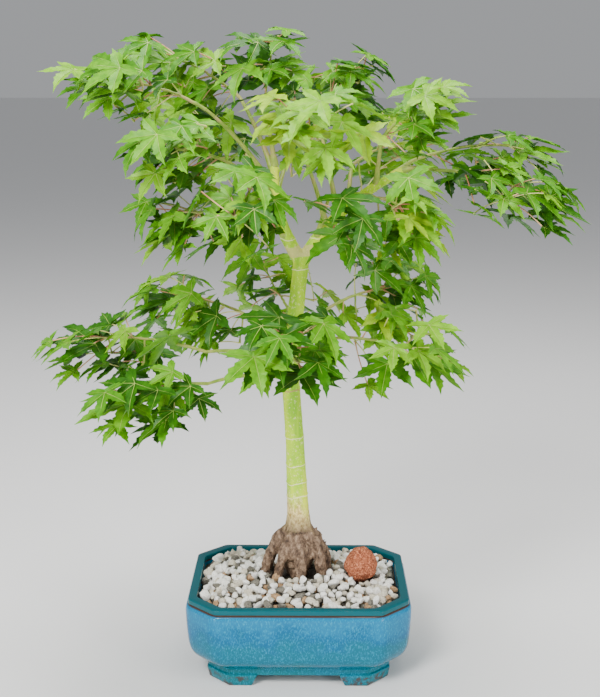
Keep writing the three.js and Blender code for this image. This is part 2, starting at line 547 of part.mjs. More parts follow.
// Twigs and leaves of one mass: places drawn at random in its space are joined to the nearest older joint,
// and each takes up to three leaves that keep clear of the walls, the limbs and the other leaves.
function grow(m, limbs) {
  const draw = seeded(m.seed);
  const side = frameOf(m)[1];
  const sp = m.space;
  const [first, stem] = leader(m);
  const leaves = [first];
  const twigs = [{ points: stem, girth: STEM }];
  const joints = [...[0, 1, 2, 3].map((i) => mul(add(stem[i], stem[i + 1]), 0.5)), ...stem.slice(1)];
  const fits = (leaf, node) => clear(leaf.at, limbs, 4) && inside(sp, leaf.at, HUB_SHARE)
    && leafPoints(leaf).every((p, i) => inside(sp, p, i ? 0 : 1) && clear(p, limbs, LIMB_NEAR))
    && clear(mul(add(leaf.at, node), 0.5), limbs, 2.5)
    && leaves.every((o) => dot(sub(o.at, leaf.at), sub(o.at, leaf.at)) >= LEAF_APART ** 2)
    && !leaves.some((o) => cuts(probes(leaf), o) || cuts(probes(o), leaf)) && !cuts(joints, leaf, 1.2)
    && !hidesFork(probes(leaf));
  for (let tries = 0; tries < TRIES && leaves.length < m.leaves; tries++) {
    const u = [draw(-1, 1), draw(-1, 1), draw(-1, 1)];
    let node = sp.axes.reduce((n, [a, r], i) => add(n, mul(a, r * u[i])), sp.mid);
    if (!inside(sp, node, 1) || !clear(node, limbs, 3)) continue;
    let near = joints[0];
    for (const j of joints) if (size(sub(j, node)) < size(sub(near, node))) near = j;
    const gap = size(sub(near, node));
    if (gap > TWIG_FAR) continue;
    const atJoint = gap < TWIG_NEAR;
    if (atJoint) node = near;
    const way = unit(sub(node, atJoint ? stem[0] : near));
    const bow = add(mul(add(near, node), 0.5), mul(UP, 0.06 * gap));
    const path = [0, 1, 2].map((k) => bend(near, bow, node, k / 2));
    if (!path.slice(1).every((p) => inside(sp, p, 0) && clear(p, limbs, LIMB_NEAR))) continue;
    if (leaves.some((o) => cuts(path, o, 1.2))) continue;
    let flat = cross(UP, way);
    flat = size(flat) > 0.15 ? unit(flat) : side;
    let got = 0;
    for (const turn of [1, -1, 0]) {
      if (turn === 0 && atJoint) continue;
      for (let again = 0; again < TRIES_AT_NODE; again++) {
        const [length, stalk, lift] = [draw(...LEAF_LENGTH), draw(...PETIOLE), draw(...LIFT)];
        const droop = draw(...m.droop);
        const roll = draw(-LEAF_ROLL, LEAF_ROLL);
        const sway = draw(-LEAF_SWAY, LEAF_SWAY);
        const out = unit([node[0], node[1], 0]);
        const base = turn ? mul(flat, turn) : [way[0], way[1], 0];
        const stalkWay = unit(add(add(base, mul(out, 0.35)), mul(UP, lift)));
        const at = add(node, mul(stalkWay, stalk));
        const head = turned(add([base[0] * 0.8, base[1] * 0.8, 0], mul(out, 0.8)), sway);
        const leaf = makeLeaf(at, head, droop, roll, length, node);
        if (fits(leaf, node)) {
          leaves.push(leaf);
          got++;
          break;
        }
      }
    }
    if (got === 1 && !atJoint) {
      // a leaf alone is carried straight from the older wood by its own long stalk
      const one = leaves[leaves.length - 1];
      const half = mul(add(one.at, near), 0.5);
      if (size(sub(one.at, near)) < STALK_MOST && clear(half, limbs, LIMB_NEAR) && !cuts([half], one, 1)
        && !leaves.slice(0, -1).some((o) => cuts([half], o, 1.2))) {
        one.node = near;
        continue;
      }
    }
    if (got && !atJoint) {
      twigs.push({ points: path, girth: TWIG });
      joints.push(node, path[1]);
    }
  }
  return { twigs, leaves };
}

// A leaf and its stalk as one closed shell: a star with a raised middle above and below, whose root runs
// on as a three-sided stalk. The outline's last point, at the root, is opened into the stalk's two upper
// edges.
function leafSolid(leaf) {
  const stalk = unit(sub(leaf.at, leaf.node));
  const points = leafPoints(leaf);
  const root = points.findIndex((p, i) => i === LEAF_RING.length - 1);
  const left = add(points[root], mul(leaf.y, 0.8));
  const right = add(points[root], mul(leaf.y, -0.8));
  const keel = add(points[root], mul(leaf.z, -1.3));
  const rim = [...points.slice(0, root), left, right, ...points.slice(root + 1)];
  const n = rim.length;
  const middle = add(leaf.at, mul(leaf.x, 0.12 * leaf.length));
  const top = add(middle, mul(leaf.z, LEAF_THICK / 2));
  const under = add(middle, mul(leaf.z, -LEAF_THICK / 2));
  const across = unit(cross(stalk, UP));
  const over = cross(across, stalk);
  const side = Math.sign(dot(across, leaf.y)) || 1;
  const foot = [[0.5 * side, 0.3], [-0.5 * side, 0.3], [0, -0.6]]
    .map(([u, v]) => add(leaf.node, add(mul(across, u), mul(over, v))));
  const place = [...rim, top, under, keel, ...foot].flat();
  const [T, U, K, F] = [n, n + 1, n + 2, n + 3];
  const index = [];
  for (let i = 0; i < n; i++) {
    const j = (i + 1) % n;
    index.push(i, j, T);
    if (i !== root) index.push(j, i, U);
  }
  const [a, b] = [root, root + 1];
  index.push(K, a, U, b, K, U);
  index.push(b, a, F, b, F, F + 1, a, K, F + 2, a, F + 2, F, K, b, F + 1, K, F + 1, F + 2, F, F + 2, F + 1);
  const g = new THREE.BufferGeometry();
  g.setAttribute('position', new THREE.Float32BufferAttribute(place, 3));
  g.setIndex(index);
  return solid(g);
}

// ---- boughs, each from its limb or the trunk to its mass, and the masses ----
const trunkSegments = TRUNK_LINE.slice(0, -1).map((p, i) => {
  const q = TRUNK_LINE[i + 1];
  return [[p[1], p[2], p[0]], [q[1], q[2], q[0]], Math.max(trunkGirth(p[0]), trunkGirth(q[0]))];
});
const limbSegments = Object.values(LIMBS).flatMap((l) => {
  const line = limbLine(l, 5);
  return line.slice(0, -1).map((p, i) => [p, line[i + 1], l.girth[0] + (l.girth[1] - l.girth[0]) * i / 5]);
});

for (const m of MASSES) m.space = spaceOf(m);
setWalls(MASSES);
for (const m of MASSES) {
  const source = LIMBS[m.source];
  const z = LOW_BOUGHS[0] + m.at * LOW_BOUGHS[1];
  const start = source ? bend(...source.line, m.at) : [...along(TRUNK_LINE, z), z];
  const knee = add(mul(add(start, m.entry), 0.5), mul(UP, 0.12 * size(sub(m.entry, start))));
  m.bough = [0, 1, 2].map((i) => bend(start, knee, m.entry, i / 2));
}
const boughSegments = MASSES.flatMap((m) => (
  [0, 1].map((i) => [m.bough[i], m.bough[i + 1], BOUGH[0] - 0.3 * i])
));
const everyLimb = [...trunkSegments, ...limbSegments, ...boughSegments];
const boughRooms = [];
for (const m of MASSES) {
  const last = unit(sub(m.bough[2], m.bough[1]));
  const line = [...m.bough.slice(0, 2), sub(m.bough[2], mul(last, GAP))];
  const shape = limb(line, taper(3, ...BOUGH), 5);
  const cut = [...rooms, ...boughRooms].reduce((s, r) => s.subtract(r), shape);
  piece(`bough_${m.name}`, whole(cut), '#8f9f5a', 0.7);
  m.room = limb([...line.slice(0, 2), m.bough[2]], taper(3, BOUGH[0] + GAP, BOUGH[1] + GAP), 5);
  boughRooms.push(m.room);
}
for (const m of MASSES) {
  const { twigs, leaves } = grow(m, everyLimb);
  const parts = [];
  for (const { points, girth } of twigs) {
    const [end, last] = points.slice(-2);
    const line = [...points.slice(0, -1), add(last, mul(unit(sub(last, end)), TWIG_PAST))];
    parts.push(limb(line, taper(line.length, ...girth), 3));
  }
  for (const leaf of leaves) parts.push(leafSolid(leaf));
  piece(`leaves_${m.name}`, whole(gather(parts).subtract(m.room)), '#4f8f2c', 0.55);
}

// ---- centre the whole box on the origin ----
const bounds = new THREE.Box3().setFromObject(group);
const centre = bounds.getCenter(new THREE.Vector3());
const toCentre = [-centre.x, -centre.y].map((v) => Math.round(v * 100) / 100);
for (const one of group.children) one.geometry.translate(...toCentre, 0);

export default group;
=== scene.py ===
import math

import bmesh
import bpy
import numpy as np
from mathutils import Euler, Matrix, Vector, noise


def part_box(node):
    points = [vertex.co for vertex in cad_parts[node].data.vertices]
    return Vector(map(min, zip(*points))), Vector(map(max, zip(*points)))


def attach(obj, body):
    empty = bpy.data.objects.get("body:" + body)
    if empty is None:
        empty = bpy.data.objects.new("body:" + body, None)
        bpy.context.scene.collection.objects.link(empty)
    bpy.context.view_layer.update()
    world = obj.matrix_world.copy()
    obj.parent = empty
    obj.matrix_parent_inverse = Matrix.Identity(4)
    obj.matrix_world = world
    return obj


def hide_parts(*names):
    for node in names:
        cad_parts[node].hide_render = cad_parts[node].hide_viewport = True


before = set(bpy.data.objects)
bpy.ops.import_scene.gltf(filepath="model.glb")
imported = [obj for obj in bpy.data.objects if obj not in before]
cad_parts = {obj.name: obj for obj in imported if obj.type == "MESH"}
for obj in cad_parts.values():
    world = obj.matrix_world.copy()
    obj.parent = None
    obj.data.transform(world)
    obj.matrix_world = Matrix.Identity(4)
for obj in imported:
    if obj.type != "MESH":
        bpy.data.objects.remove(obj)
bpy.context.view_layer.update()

# ---- Where the plant stands ----
# Sizes are millimetres about the middle of the pot, with the ground at zero; placed() turns them into
# the frame's metres.
MM = 0.001
pot_low, pot_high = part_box("pot")
POT_MIDDLE = np.array([(pot_low.x + pot_high.x) / 2, (pot_low.y + pot_high.y) / 2, 0.0])


def placed(points):
    return np.asarray(points, float) * MM + POT_MIDDLE


# ---- Camera, floor and studio light ----
# The camera stands a little over a metre in front of the plant, just above its middle, looking slightly
# down. The floor is one plain pale sheet, and the light comes from large soft panels.
CAMERA_AT = (9.93, -1099.5, 539.3)
CAMERA_DOWN = 12.402
CAMERA_LEFT = 0.469
FOCAL_SHARE = 1242.2 / 697     # focal length as a share of the picture's height
SENSOR = 36.0
FLOOR_WIDE = 60
FLOOR_PALE = (0.80, 0.80, 0.80, 1)
FLOOR_ROUGH = 0.7
SKY_PALE = (0.92, 0.94, 0.97, 1)
SKY_STRENGTH = 0.40
LAMP_WARM = (1.0, 0.99, 0.97)
LAMP_AIM = Vector((0, 0, 0.3))

camera_data = bpy.data.cameras.new("camera")
camera_data.sensor_fit = "VERTICAL"
camera_data.sensor_height = SENSOR
camera_data.lens = SENSOR * FOCAL_SHARE
camera = bpy.data.objects.new("camera", camera_data)
bpy.context.collection.objects.link(camera)
camera.location = placed(CAMERA_AT)
camera.rotation_euler = (math.radians(90 - CAMERA_DOWN), 0, math.radians(CAMERA_LEFT))
bpy.context.scene.camera = camera

bpy.ops.mesh.primitive_plane_add(size=FLOOR_WIDE)
floor = bpy.context.object
floor.name = "floor"
floor_finish = bpy.data.materials.new("pale floor")
floor_finish.use_nodes = True
shader = floor_finish.node_tree.nodes["Principled BSDF"]
shader.inputs["Base Color"].default_value = FLOOR_PALE
shader.inputs["Roughness"].default_value = FLOOR_ROUGH
floor.data.materials.append(floor_finish)

world = bpy.data.worlds.new("studio")
world.use_nodes = True
sky = world.node_tree.nodes["Background"]
sky.inputs["Color"].default_value = SKY_PALE
sky.inputs["Strength"].default_value = SKY_STRENGTH
bpy.context.scene.world = world


def soft_panel(name, at, wide, high, watts):
    """An oblong lamp that faces the middle of the plant."""
    lamp = bpy.data.lights.new(name, "AREA")
    lamp.shape = "RECTANGLE"
    lamp.size = wide
    lamp.size_y = high
    lamp.energy = watts
    lamp.color = LAMP_WARM
    panel = bpy.data.objects.new(name, lamp)
    panel.location = at
    panel.rotation_euler = (Vector(at) - LAMP_AIM).to_track_quat("Z", "Y").to_euler()
    bpy.context.collection.objects.link(panel)


soft_panel("key panel", (-0.8, -1.5, 1.7), 0.7, 0.7, 56)
soft_panel("fill panel", (1.5, -1.1, 1.0), 0.7, 0.7, 16)
soft_panel("top panel", (0.1, 0.2, 1.9), 1.0, 1.0, 34)
soft_panel("left strip", (-1.2, -1.45, 0.5), 0.24, 0.9, 12)
soft_panel("right strip", (1.2, -1.45, 0.5), 0.24, 0.9, 10)


# ---- Pot ----
# A stoneware oblong with canted corners: a bellied body under a narrow plain lip, glazed all over in
# mottled azure that breaks to teal at the lip and low down, and to brown where it runs thin.
RIM_HALF = (100.0, 79.7)
RIM_CANT = 25.6
LIP_LOW = 72.6
POT_TOP = 78.0
POT_FLOOR = 17.0
BODY_FOOT = 10.0
EDGE_ROUND = 3.0               # how far from a corner its rounding starts, on the lip
BELLY_ROUND = 7.0              # and on the body
# height and how far the wall stands out from the rim's size
OUTER_WALL = [(BODY_FOOT, -16), (12, -16), (15.5, -15.8), (17.4, -14), (19.5, -10.4), (22, -6.4), (26, -2.6),
              (32, -0.2), (40, 1.0), (50, 1.9), (60, 2.5), (67, 2.6), (70.4, 1.9), (71.8, 0.7),
              (LIP_LOW, -0.5), (73.3, -0.1), (74.2, 0.1), (77.0, 0), (77.7, -0.4), (POT_TOP, -1.2)]
INNER_WALL = [(POT_TOP, -6.6), (77.8, -7.4), (77.2, -7.8), (50, -8), (36, -11), (24, -20), (POT_FLOOR, -23)]


def eased(table, steps=3):
    """More rows between the rows of a table, on a smooth curve through them."""
    rows = np.array(table, float)
    ends = np.vstack([rows[:1], rows, rows[-1:]])
    out = []
    for i in range(1, len(ends) - 2):
        a, b, c, d = ends[i - 1:i + 3]
        for t in np.arange(steps) / steps:
            out.append(0.5 * (2 * b + (c - a) * t + (2 * a - 5 * b + 4 * c - d) * t * t
                              + (3 * b - a - 3 * c + d) * t ** 3))
    return out + [rows[-1]]


def bend(a, b, c, t):
    """The point at share t of a smooth bend from a to c that leans towards b."""
    a, b, c = (np.asarray(p, float) for p in (a, b, c))
    return (1 - t) ** 2 * a + 2 * t * (1 - t) * b + t * t * c


def canted_outline(w, d, c, corner):
    """An oblong of half width w and half depth d, its corners cut off by c and its edges rounded."""
    corners = [(w, c - d), (w, d - c), (w - c, d), (c - w, d),
               (-w, d - c), (-w, c - d), (c - w, -d), (w - c, -d)]
    points = []
    for i, corner_at in enumerate(corners):
        here = np.array(corner_at, float)
        before = here - np.array(corners[i - 1], float)
        after = np.array(corners[(i + 1) % 8], float) - here
        start = here - before / np.linalg.norm(before) * corner
        end = here + after / np.linalg.norm(after) * corner
        points += [bend(start, here, end, t) for t in (0, 1 / 3, 2 / 3, 1)]
    return np.array(points)


def ring_at(z, out, side_out=0.8, cant_out=0.35):
    """The wall's outline at one height, where it stands out this far from the rim's size."""
    half_w, half_d, cant = RIM_HALF[0] + out, RIM_HALF[1] + out * side_out, RIM_CANT + out * cant_out
    outline = canted_outline(half_w, half_d, cant, EDGE_ROUND if z > LIP_LOW else BELLY_ROUND)
    return placed([(x, y, z) for x, y in outline])


def order_round(points):
    """The order of the points by their turn about their middle."""
    out = points - points.mean(axis=0)
    return np.argsort(np.arctan2(out[:, 1], out[:, 0]))


def stack_of_rings(name, rings):
    """A closed solid drawn up from a flat underside: the top face is extruded onto one ring after another."""
    bpy.ops.mesh.primitive_circle_add(vertices=len(rings[0]), radius=1, fill_type="NGON")
    solid = bpy.context.object
    solid.name = name

    def onto(corners, ring):
        places = np.array([v.co for v in corners], float)
        for i, k in zip(order_round(places), order_round(ring)):
            corners[i].co = ring[k]

    onto(list(solid.data.vertices), rings[0])
    bpy.ops.object.mode_set(mode="EDIT")
    bpy.ops.mesh.select_all(action="SELECT")
    for ring in rings[1:]:
        bpy.ops.mesh.extrude_region_move()
        shell = bmesh.from_edit_mesh(solid.data)
        top = [f for f in shell.faces if f.select][0]
        onto(list(top.verts), ring)
        bmesh.update_edit_mesh(solid.data)
    bpy.ops.mesh.select_all(action="SELECT")
    bpy.ops.mesh.normals_make_consistent(inside=False)
    bpy.ops.object.mode_set(mode="OBJECT")
    return solid


walls = [ring_at(z, out) for z, out in eased(OUTER_WALL)]
walls += [ring_at(z, out, 1.0, 0.3) for z, out in INNER_WALL]
pot = stack_of_rings("pot", walls)


def pick(*pieces):
    """Selects these pieces alone and makes the first the active one."""
    bpy.ops.object.select_all(action="DESELECT")
    for one in pieces:
        one.select_set(True)
    bpy.context.view_layer.objects.active = pieces[0]


# Each foot is an angle piece under a corner, its ends sloping outwards from the arch between two feet.
FOOT_LOW = [(42, -68), (62.5, -68), (82, -48.5), (82, -25), (66, -25), (66, -35), (49, -52), (42, -52)]
FOOT_HIGH = [(37, -70), (64, -70), (84, -50), (84, -21), (65, -21), (65, -34), (48, -51), (37, -51)]
FOOT_TOP = 11.0
FOOT_SOFT = 1.3
feet = []
for side in (1, -1):
    for front in (1, -1):
        low = placed([(x * side, y * front, 0) for x, y in FOOT_LOW])
        high = placed([(x * side, y * front, FOOT_TOP) for x, y in FOOT_HIGH])
        shell = bmesh.new()
        under = [shell.verts.new(p) for p in low]
        over = [shell.verts.new(p) for p in high]
        shell.faces.new(under)
        shell.faces.new(over)
        for i in range(len(low)):
            j = (i + 1) % len(low)
            shell.faces.new((under[i], under[j], over[j], over[i]))
        bmesh.ops.recalc_face_normals(shell, faces=shell.faces)
        mesh = bpy.data.meshes.new("foot")
        shell.to_mesh(mesh)
        shell.free()
        foot = bpy.data.objects.new("foot", mesh)
        bpy.context.collection.objects.link(foot)
        soften = foot.modifiers.new("soft edges", "BEVEL")
        soften.width = FOOT_SOFT * MM
        soften.segments = 3
        pick(foot)
        bpy.ops.object.modifier_apply(modifier="soft edges")
        feet.append(foot)
pick(pot, *feet)
bpy.ops.object.join()
pot.name = "glazed_pot"
bpy.ops.object.shade_smooth_by_angle(angle=math.radians(35))


def finish(name, roughness, **sockets):
    """A new material, its node tree and its shader; sockets are set on the shader itself."""
    material = bpy.data.materials.new(name)
    material.use_nodes = True
    shader = material.node_tree.nodes["Principled BSDF"]
    shader.inputs["Roughness"].default_value = roughness
    for socket, value in sockets.items():
        shader.inputs[socket.replace("_", " ")].default_value = value
    return material, material.node_tree, shader


def grain(tree, scale, detail, rough, stretch=(1, 1, 1)):
    """Fine noise fixed to the piece; scale is in spots per metre."""
    place = tree.nodes.new("ShaderNodeTexCoord")
    mapping = tree.nodes.new("ShaderNodeMapping")
    mapping.inputs["Scale"].default_value = stretch
    spots = tree.nodes.new("ShaderNodeTexNoise")
    spots.inputs["Scale"].default_value = scale
    spots.inputs["Detail"].default_value = detail
    spots.inputs["Roughness"].default_value = rough
    tree.links.new(place.outputs["Object"], mapping.inputs["Vector"])
    tree.links.new(mapping.outputs["Vector"], spots.inputs["Vector"])
    return spots.outputs["Fac"]


def height_in(tree):
    """The height of the surface above the ground, in metres."""
    place = tree.nodes.new("ShaderNodeTexCoord")
    split = tree.nodes.new("ShaderNodeSeparateXYZ")
    tree.links.new(place.outputs["Object"], split.inputs[0])
    return split.outputs["Z"]


def bands(tree, source, stops):
    """Colours along a value: stops are (value, colour)."""
    ramp = tree.nodes.new("ShaderNodeValToRGB")
    while len(ramp.color_ramp.elements) < len(stops):
        ramp.color_ramp.elements.new(0.5)
    for element, (value, colour) in zip(ramp.color_ramp.elements, stops):
        element.position = value
        element.color = (*colour, 1)
    tree.links.new(source, ramp.inputs["Fac"])
    return ramp.outputs["Color"]


def coloured(tree, shader, source, stops):
    tree.links.new(bands(tree, source, stops), shader.inputs["Base Color"])


def span_of(tree, source, low, high, to_low=0.0, to_high=1.0):
    """A value held between low and high and brought to the span from to_low to to_high."""
    span = tree.nodes.new("ShaderNodeMapRange")
    for socket, value in zip(("From Min", "From Max", "To Min", "To Max"), (low, high, to_low, to_high)):
        span.inputs[socket].default_value = value
    tree.links.new(source, span.inputs["Value"])
    return span.outputs["Result"]


def combined(tree, a, b, how="ADD"):
    both = tree.nodes.new("ShaderNodeMath")
    both.operation = how
    tree.links.new(a, both.inputs[0])
    tree.links.new(b, both.inputs[1])
    return both.outputs[0]


def mixed(tree, factor, a, b):
    """Colour a going over to colour b; each is a fixed colour or another node's."""
    mix = tree.nodes.new("ShaderNodeMix")
    mix.data_type = "RGBA"
    tree.links.new(factor, mix.inputs["Factor"])
    for socket, value in (("A", a), ("B", b)):
        slot = [s for s in mix.inputs if s.name == socket and s.type == "RGBA"][0]
        if isinstance(value, tuple):
            slot.default_value = (*value, 1)
        else:
            tree.links.new(value, slot)
    return [s for s in mix.outputs if s.type == "RGBA"][0]


def relief(tree, shader, source, depth, strength=1.0):
    """Bumps up to depth metres high, in the light only."""
    bump = tree.nodes.new("ShaderNodeBump")
    bump.inputs["Distance"].default_value = depth
    bump.inputs["Strength"].default_value = strength
    tree.links.new(source, bump.inputs["Height"])
    tree.links.new(bump.outputs["Normal"], shader.inputs["Normal"])


GLAZE_LOW = (0.000, 0.120, 0.145)
GLAZE_TEAL = (0.000, 0.120, 0.190)
GLAZE_DEEP = (0.000, 0.105, 0.240)
GLAZE_AZURE = (0.000, 0.155, 0.315)
GLAZE_PALE = (0.010, 0.330, 0.520)
LIP_TEAL = (0.000, 0.088, 0.110)
BARE_BROWN = (0.060, 0.036, 0.026)
# heights in metres over which the glaze changes
GLAZE_WANDER = 0.013
BARE_LINE_AT = (0.0713, 0.0721)
LIP_GLAZE_AT = (0.0733, 0.0738)
FOOT_WEAR_AT = (0.0105, 0.0090)

glaze, tree, shader = finish("mottled azure glaze", 0.07, Specular_IOR_Level=0.22)
up = height_in(tree)
streaks = grain(tree, 900, 3.0, 0.7, (1, 1, 0.45))
clouds = grain(tree, 30, 3.0, 0.55, (1, 1, 1.5))
level = combined(tree, up, span_of(tree, clouds, 0.3, 0.7, -GLAZE_WANDER, GLAZE_WANDER))
along_wall = span_of(tree, level, 0.0, 0.08)
body_colour = bands(tree, along_wall, [(0.12, GLAZE_LOW), (0.30, GLAZE_TEAL), (0.48, GLAZE_TEAL),
                                       (0.64, GLAZE_DEEP), (0.80, GLAZE_AZURE)])
speckle = span_of(tree, streaks, 0.50, 0.68, 0.0, 0.7)
body_colour = mixed(tree, speckle, body_colour, GLAZE_PALE)
lip_colour = mixed(tree, span_of(tree, up, *LIP_GLAZE_AT), BARE_BROWN, LIP_TEAL)
body_and_lip = mixed(tree, span_of(tree, up, *BARE_LINE_AT), body_colour, lip_colour)
patches = grain(tree, 150, 4.0, 0.7)
thin = span_of(tree, patches, 0.49, 0.57, 0.0, 0.85)
on_foot = combined(tree, thin, span_of(tree, up, *FOOT_WEAR_AT), "MULTIPLY")
tree.links.new(mixed(tree, on_foot, body_and_lip, BARE_BROWN), shader.inputs["Base Color"])
relief(tree, shader, clouds, 0.0006, 0.5)
pot.data.materials.clear()
pot.data.materials.append(glaze)
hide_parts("pot")
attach(pot, "root")

# ---- Soil ----
# Dark potting mix that fills the pot under the gravel; its solid is right as it is and gets its own finish.
loam, tree, shader = finish("dark potting mix", 0.95)
crumbs = grain(tree, 420, 6.0, 0.75)
coloured(tree, shader, crumbs, [(0.35, (0.010, 0.007, 0.005)), (0.6, (0.06, 0.040, 0.026))])
relief(tree, shader, crumbs, 0.002)
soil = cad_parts["soil"]
for one in soil.material_slots:
    one.material = loam

# ---- Gravel ----
# A top dressing of loose angular pumice, mostly white with some grey and a few tan stones, heaped a little
# towards the trunk. It lies on a lower layer of mostly dark grey and tan stones and on a dark bed of dust and
# small bits, both darkened as painted shade in the gaps between the top stones.
GRAVEL_EDGE = 74.0
GROUND = 83.0
INSIDE_HALF = (91.5, 71.2)
INSIDE_CANT = 23.0
BED_BASE = 68.3
# share of the pot's inside and how far the bed lies below the gravel's top there
BED_RINGS = ((1.0, 5.2), (0.86, 5.0), (0.7, 4.8), (0.5, 4.2), (0.3, 3.6), (0.06, 3.0))
TRUNK_FOOT = (-2.0, -2.0)
ROCK_AT = (58.0, -8.0, 93.5)


def gravel_level(x, y):
    """The height of the gravel's top, in millimetres."""
    far = max(abs(x) / 84, abs(y) / 64, (abs(x) + abs(y)) / 130)
    return GRAVEL_EDGE + (GROUND - GRAVEL_EDGE) * min(1.0, max(0.0, (1.03 - far) / 0.6))


def inside_pot(x, y, margin):
    w, d, c = INSIDE_HALF[0] - margin, INSIDE_HALF[1] - margin, INSIDE_CANT
    return abs(x) < w and abs(y) < d and abs(x) + abs(y) < w + d - c


def object_from(name, points, faces, material, smooth=None):
    """A piece from points in millimetres and faces, shaded smooth up to the given angle."""
    mesh = bpy.data.meshes.new(name)
    mesh.from_pydata([tuple(p) for p in placed(points)], [], [tuple(int(i) for i in f) for f in faces])
    mesh.materials.append(material)
    mesh.update()
    piece = bpy.data.objects.new(name, mesh)
    bpy.context.collection.objects.link(piece)
    if smooth is not None:
        pick(piece)
        bpy.ops.object.shade_smooth_by_angle(angle=math.radians(smooth))
    return piece


bed_rings = []
for share, drop in BED_RINGS:
    outline = canted_outline(INSIDE_HALF[0] * share, INSIDE_HALF[1] * share, INSIDE_CANT * share, 1.5 * share)
    bed_rings.append(placed([(x, y, gravel_level(x, y) - drop) for x, y in outline]))
base_ring = canted_outline(*INSIDE_HALF, INSIDE_CANT, 1.5)
bed = stack_of_rings("gravel_bed", [placed([(x, y, BED_BASE) for x, y in base_ring])] + bed_rings)
# The bed is the dull brown of dust and grit, darkened to near black as painted shade in the gaps between
# stones.
grit_and_gap_shade, tree, shader = finish("gravel grit with painted gap shade", 0.95)
grit_and_shade_spots = grain(tree, 600, 5.0, 0.75)
coloured(tree, shader, grit_and_shade_spots, [(0.38, (0.012, 0.009, 0.007)), (0.52, (0.05, 0.040, 0.030)),
                              (0.70, (0.16, 0.14, 0.11))])
relief(tree, shader, grit_and_shade_spots, 0.0015)
bed.data.materials.clear()
bed.data.materials.append(grit_and_gap_shade)
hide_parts("gravel")
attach(bed, "root")

STONE_HALF = (2.6, 4.3)
STONE_SHAPES = 9
STONE_CUTS = 8
STONE_PITCH = 7.4
STONE_SINKS = (3.8, -1.2)      # how far the lower and the upper stones lie below the gravel's level
ROOTS_CLEAR = (29, 23)
ROCK_CLEAR = 13.5
rng = np.random.default_rng(12)
bpy.ops.mesh.primitive_cube_add(size=2)
block = bpy.context.object
bpy.ops.object.mode_set(mode="EDIT")
bpy.ops.mesh.subdivide(number_cuts=2)
bpy.ops.transform.tosphere(value=0.86)
bpy.ops.object.mode_set(mode="OBJECT")
block_points = np.array([v.co for v in block.data.vertices])
block_faces = [tuple(f.vertices) for f in block.data.polygons]
bpy.data.objects.remove(block)
stone_shapes = []
for _ in range(STONE_SHAPES):
    shape = block_points.copy()
    for _ in range(STONE_CUTS):
        way = rng.normal(size=3)
        way /= np.linalg.norm(way)
        past = np.maximum(shape @ way - rng.uniform(0.68, 0.90), 0)
        shape -= past[:, None] * way
    shape *= 1 + rng.uniform(-0.035, 0.035, (len(shape), 1))
    stone_shapes.append(shape * rng.uniform((0.9, 0.8, 0.66), (1.3, 1.05, 0.9)))


def add_to(whole, points, faces):
    """Adds points and their faces to a set of points and faces."""
    all_points, all_faces = whole
    all_faces.extend(tuple(i + len(all_points) for i in f) for f in faces)
    all_points.extend(points)


# share of the lower and of the upper stones, and the colours of their skin; the lower layer is mostly
# dark grey and tan, as painted shade in the gaps between the upper stones
stone_kinds = {
    "gravel_white": ((0.04, 0.60), [(0.36, (0.66, 0.64, 0.58)), (0.60, (0.97, 0.96, 0.92))]),
    "gravel_pale": ((0.16, 0.22), [(0.36, (0.42, 0.37, 0.28)), (0.62, (0.76, 0.71, 0.58))]),
    # This dark grey gives the few grey stones on top and, in the lower layer, painted shade between the
    # stones.
    "gravel_grey": ((0.60, 0.12), [(0.36, (0.07, 0.065, 0.05)), (0.62, (0.24, 0.22, 0.18))]),
    "gravel_tan": ((0.20, 0.06), [(0.36, (0.22, 0.12, 0.055)), (0.62, (0.52, 0.34, 0.19))]),
}
stone_meshes = {name: ([], []) for name in stone_kinds}
columns, rows = (np.arange(-half, half + STONE_PITCH, STONE_PITCH) for half in INSIDE_HALF)
for layer, sink in enumerate(STONE_SINKS):
    for gx in columns:
        for row, gy in enumerate(rows):
            x = gx + (row % 2) * STONE_PITCH / 2 + rng.uniform(-0.32, 0.32) * STONE_PITCH
            y = gy + rng.uniform(-0.32, 0.32) * STONE_PITCH
            half = rng.uniform(*STONE_HALF) * (1.0 if rng.random() < 0.8 else 0.72)
            if not inside_pot(x, y, half * 0.95):
                continue
            from_roots = ((x - TRUNK_FOOT[0]) / ROOTS_CLEAR[0], (y - TRUNK_FOOT[1]) / ROOTS_CLEAR[1])
            if math.hypot(*from_roots) < (0.98 if layer else 0.8):
                continue
            if math.hypot(x - ROCK_AT[0], y - ROCK_AT[1]) < ROCK_CLEAR:
                continue
            shape = stone_shapes[rng.integers(STONE_SHAPES)] * half
            turn, tip, roll = rng.uniform(0, 6.3), rng.uniform(-0.7, 0.7), rng.uniform(-0.7, 0.7)
            lying = np.array(Euler((tip, roll, turn), "YXZ").to_matrix())
            lift = gravel_level(x, y) - sink + rng.uniform(-1.4, 1.4)
            kind = rng.choice(list(stone_kinds), p=[k[0][layer] for k in stone_kinds.values()])
            add_to(stone_meshes[kind], shape @ lying.T + (x, y, lift), block_faces)
for name, (_, stops) in stone_kinds.items():
    pumice, tree, shader = finish(name.replace("_", " "), 0.9)
    pits = grain(tree, 900, 5.0, 0.7)
    coloured(tree, shader, pits, stops)
    relief(tree, shader, pits, 0.0005, 0.8)
    stones = object_from(name, *stone_meshes[name], pumice, 32)
    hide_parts("gravel")
    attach(stones, "root")

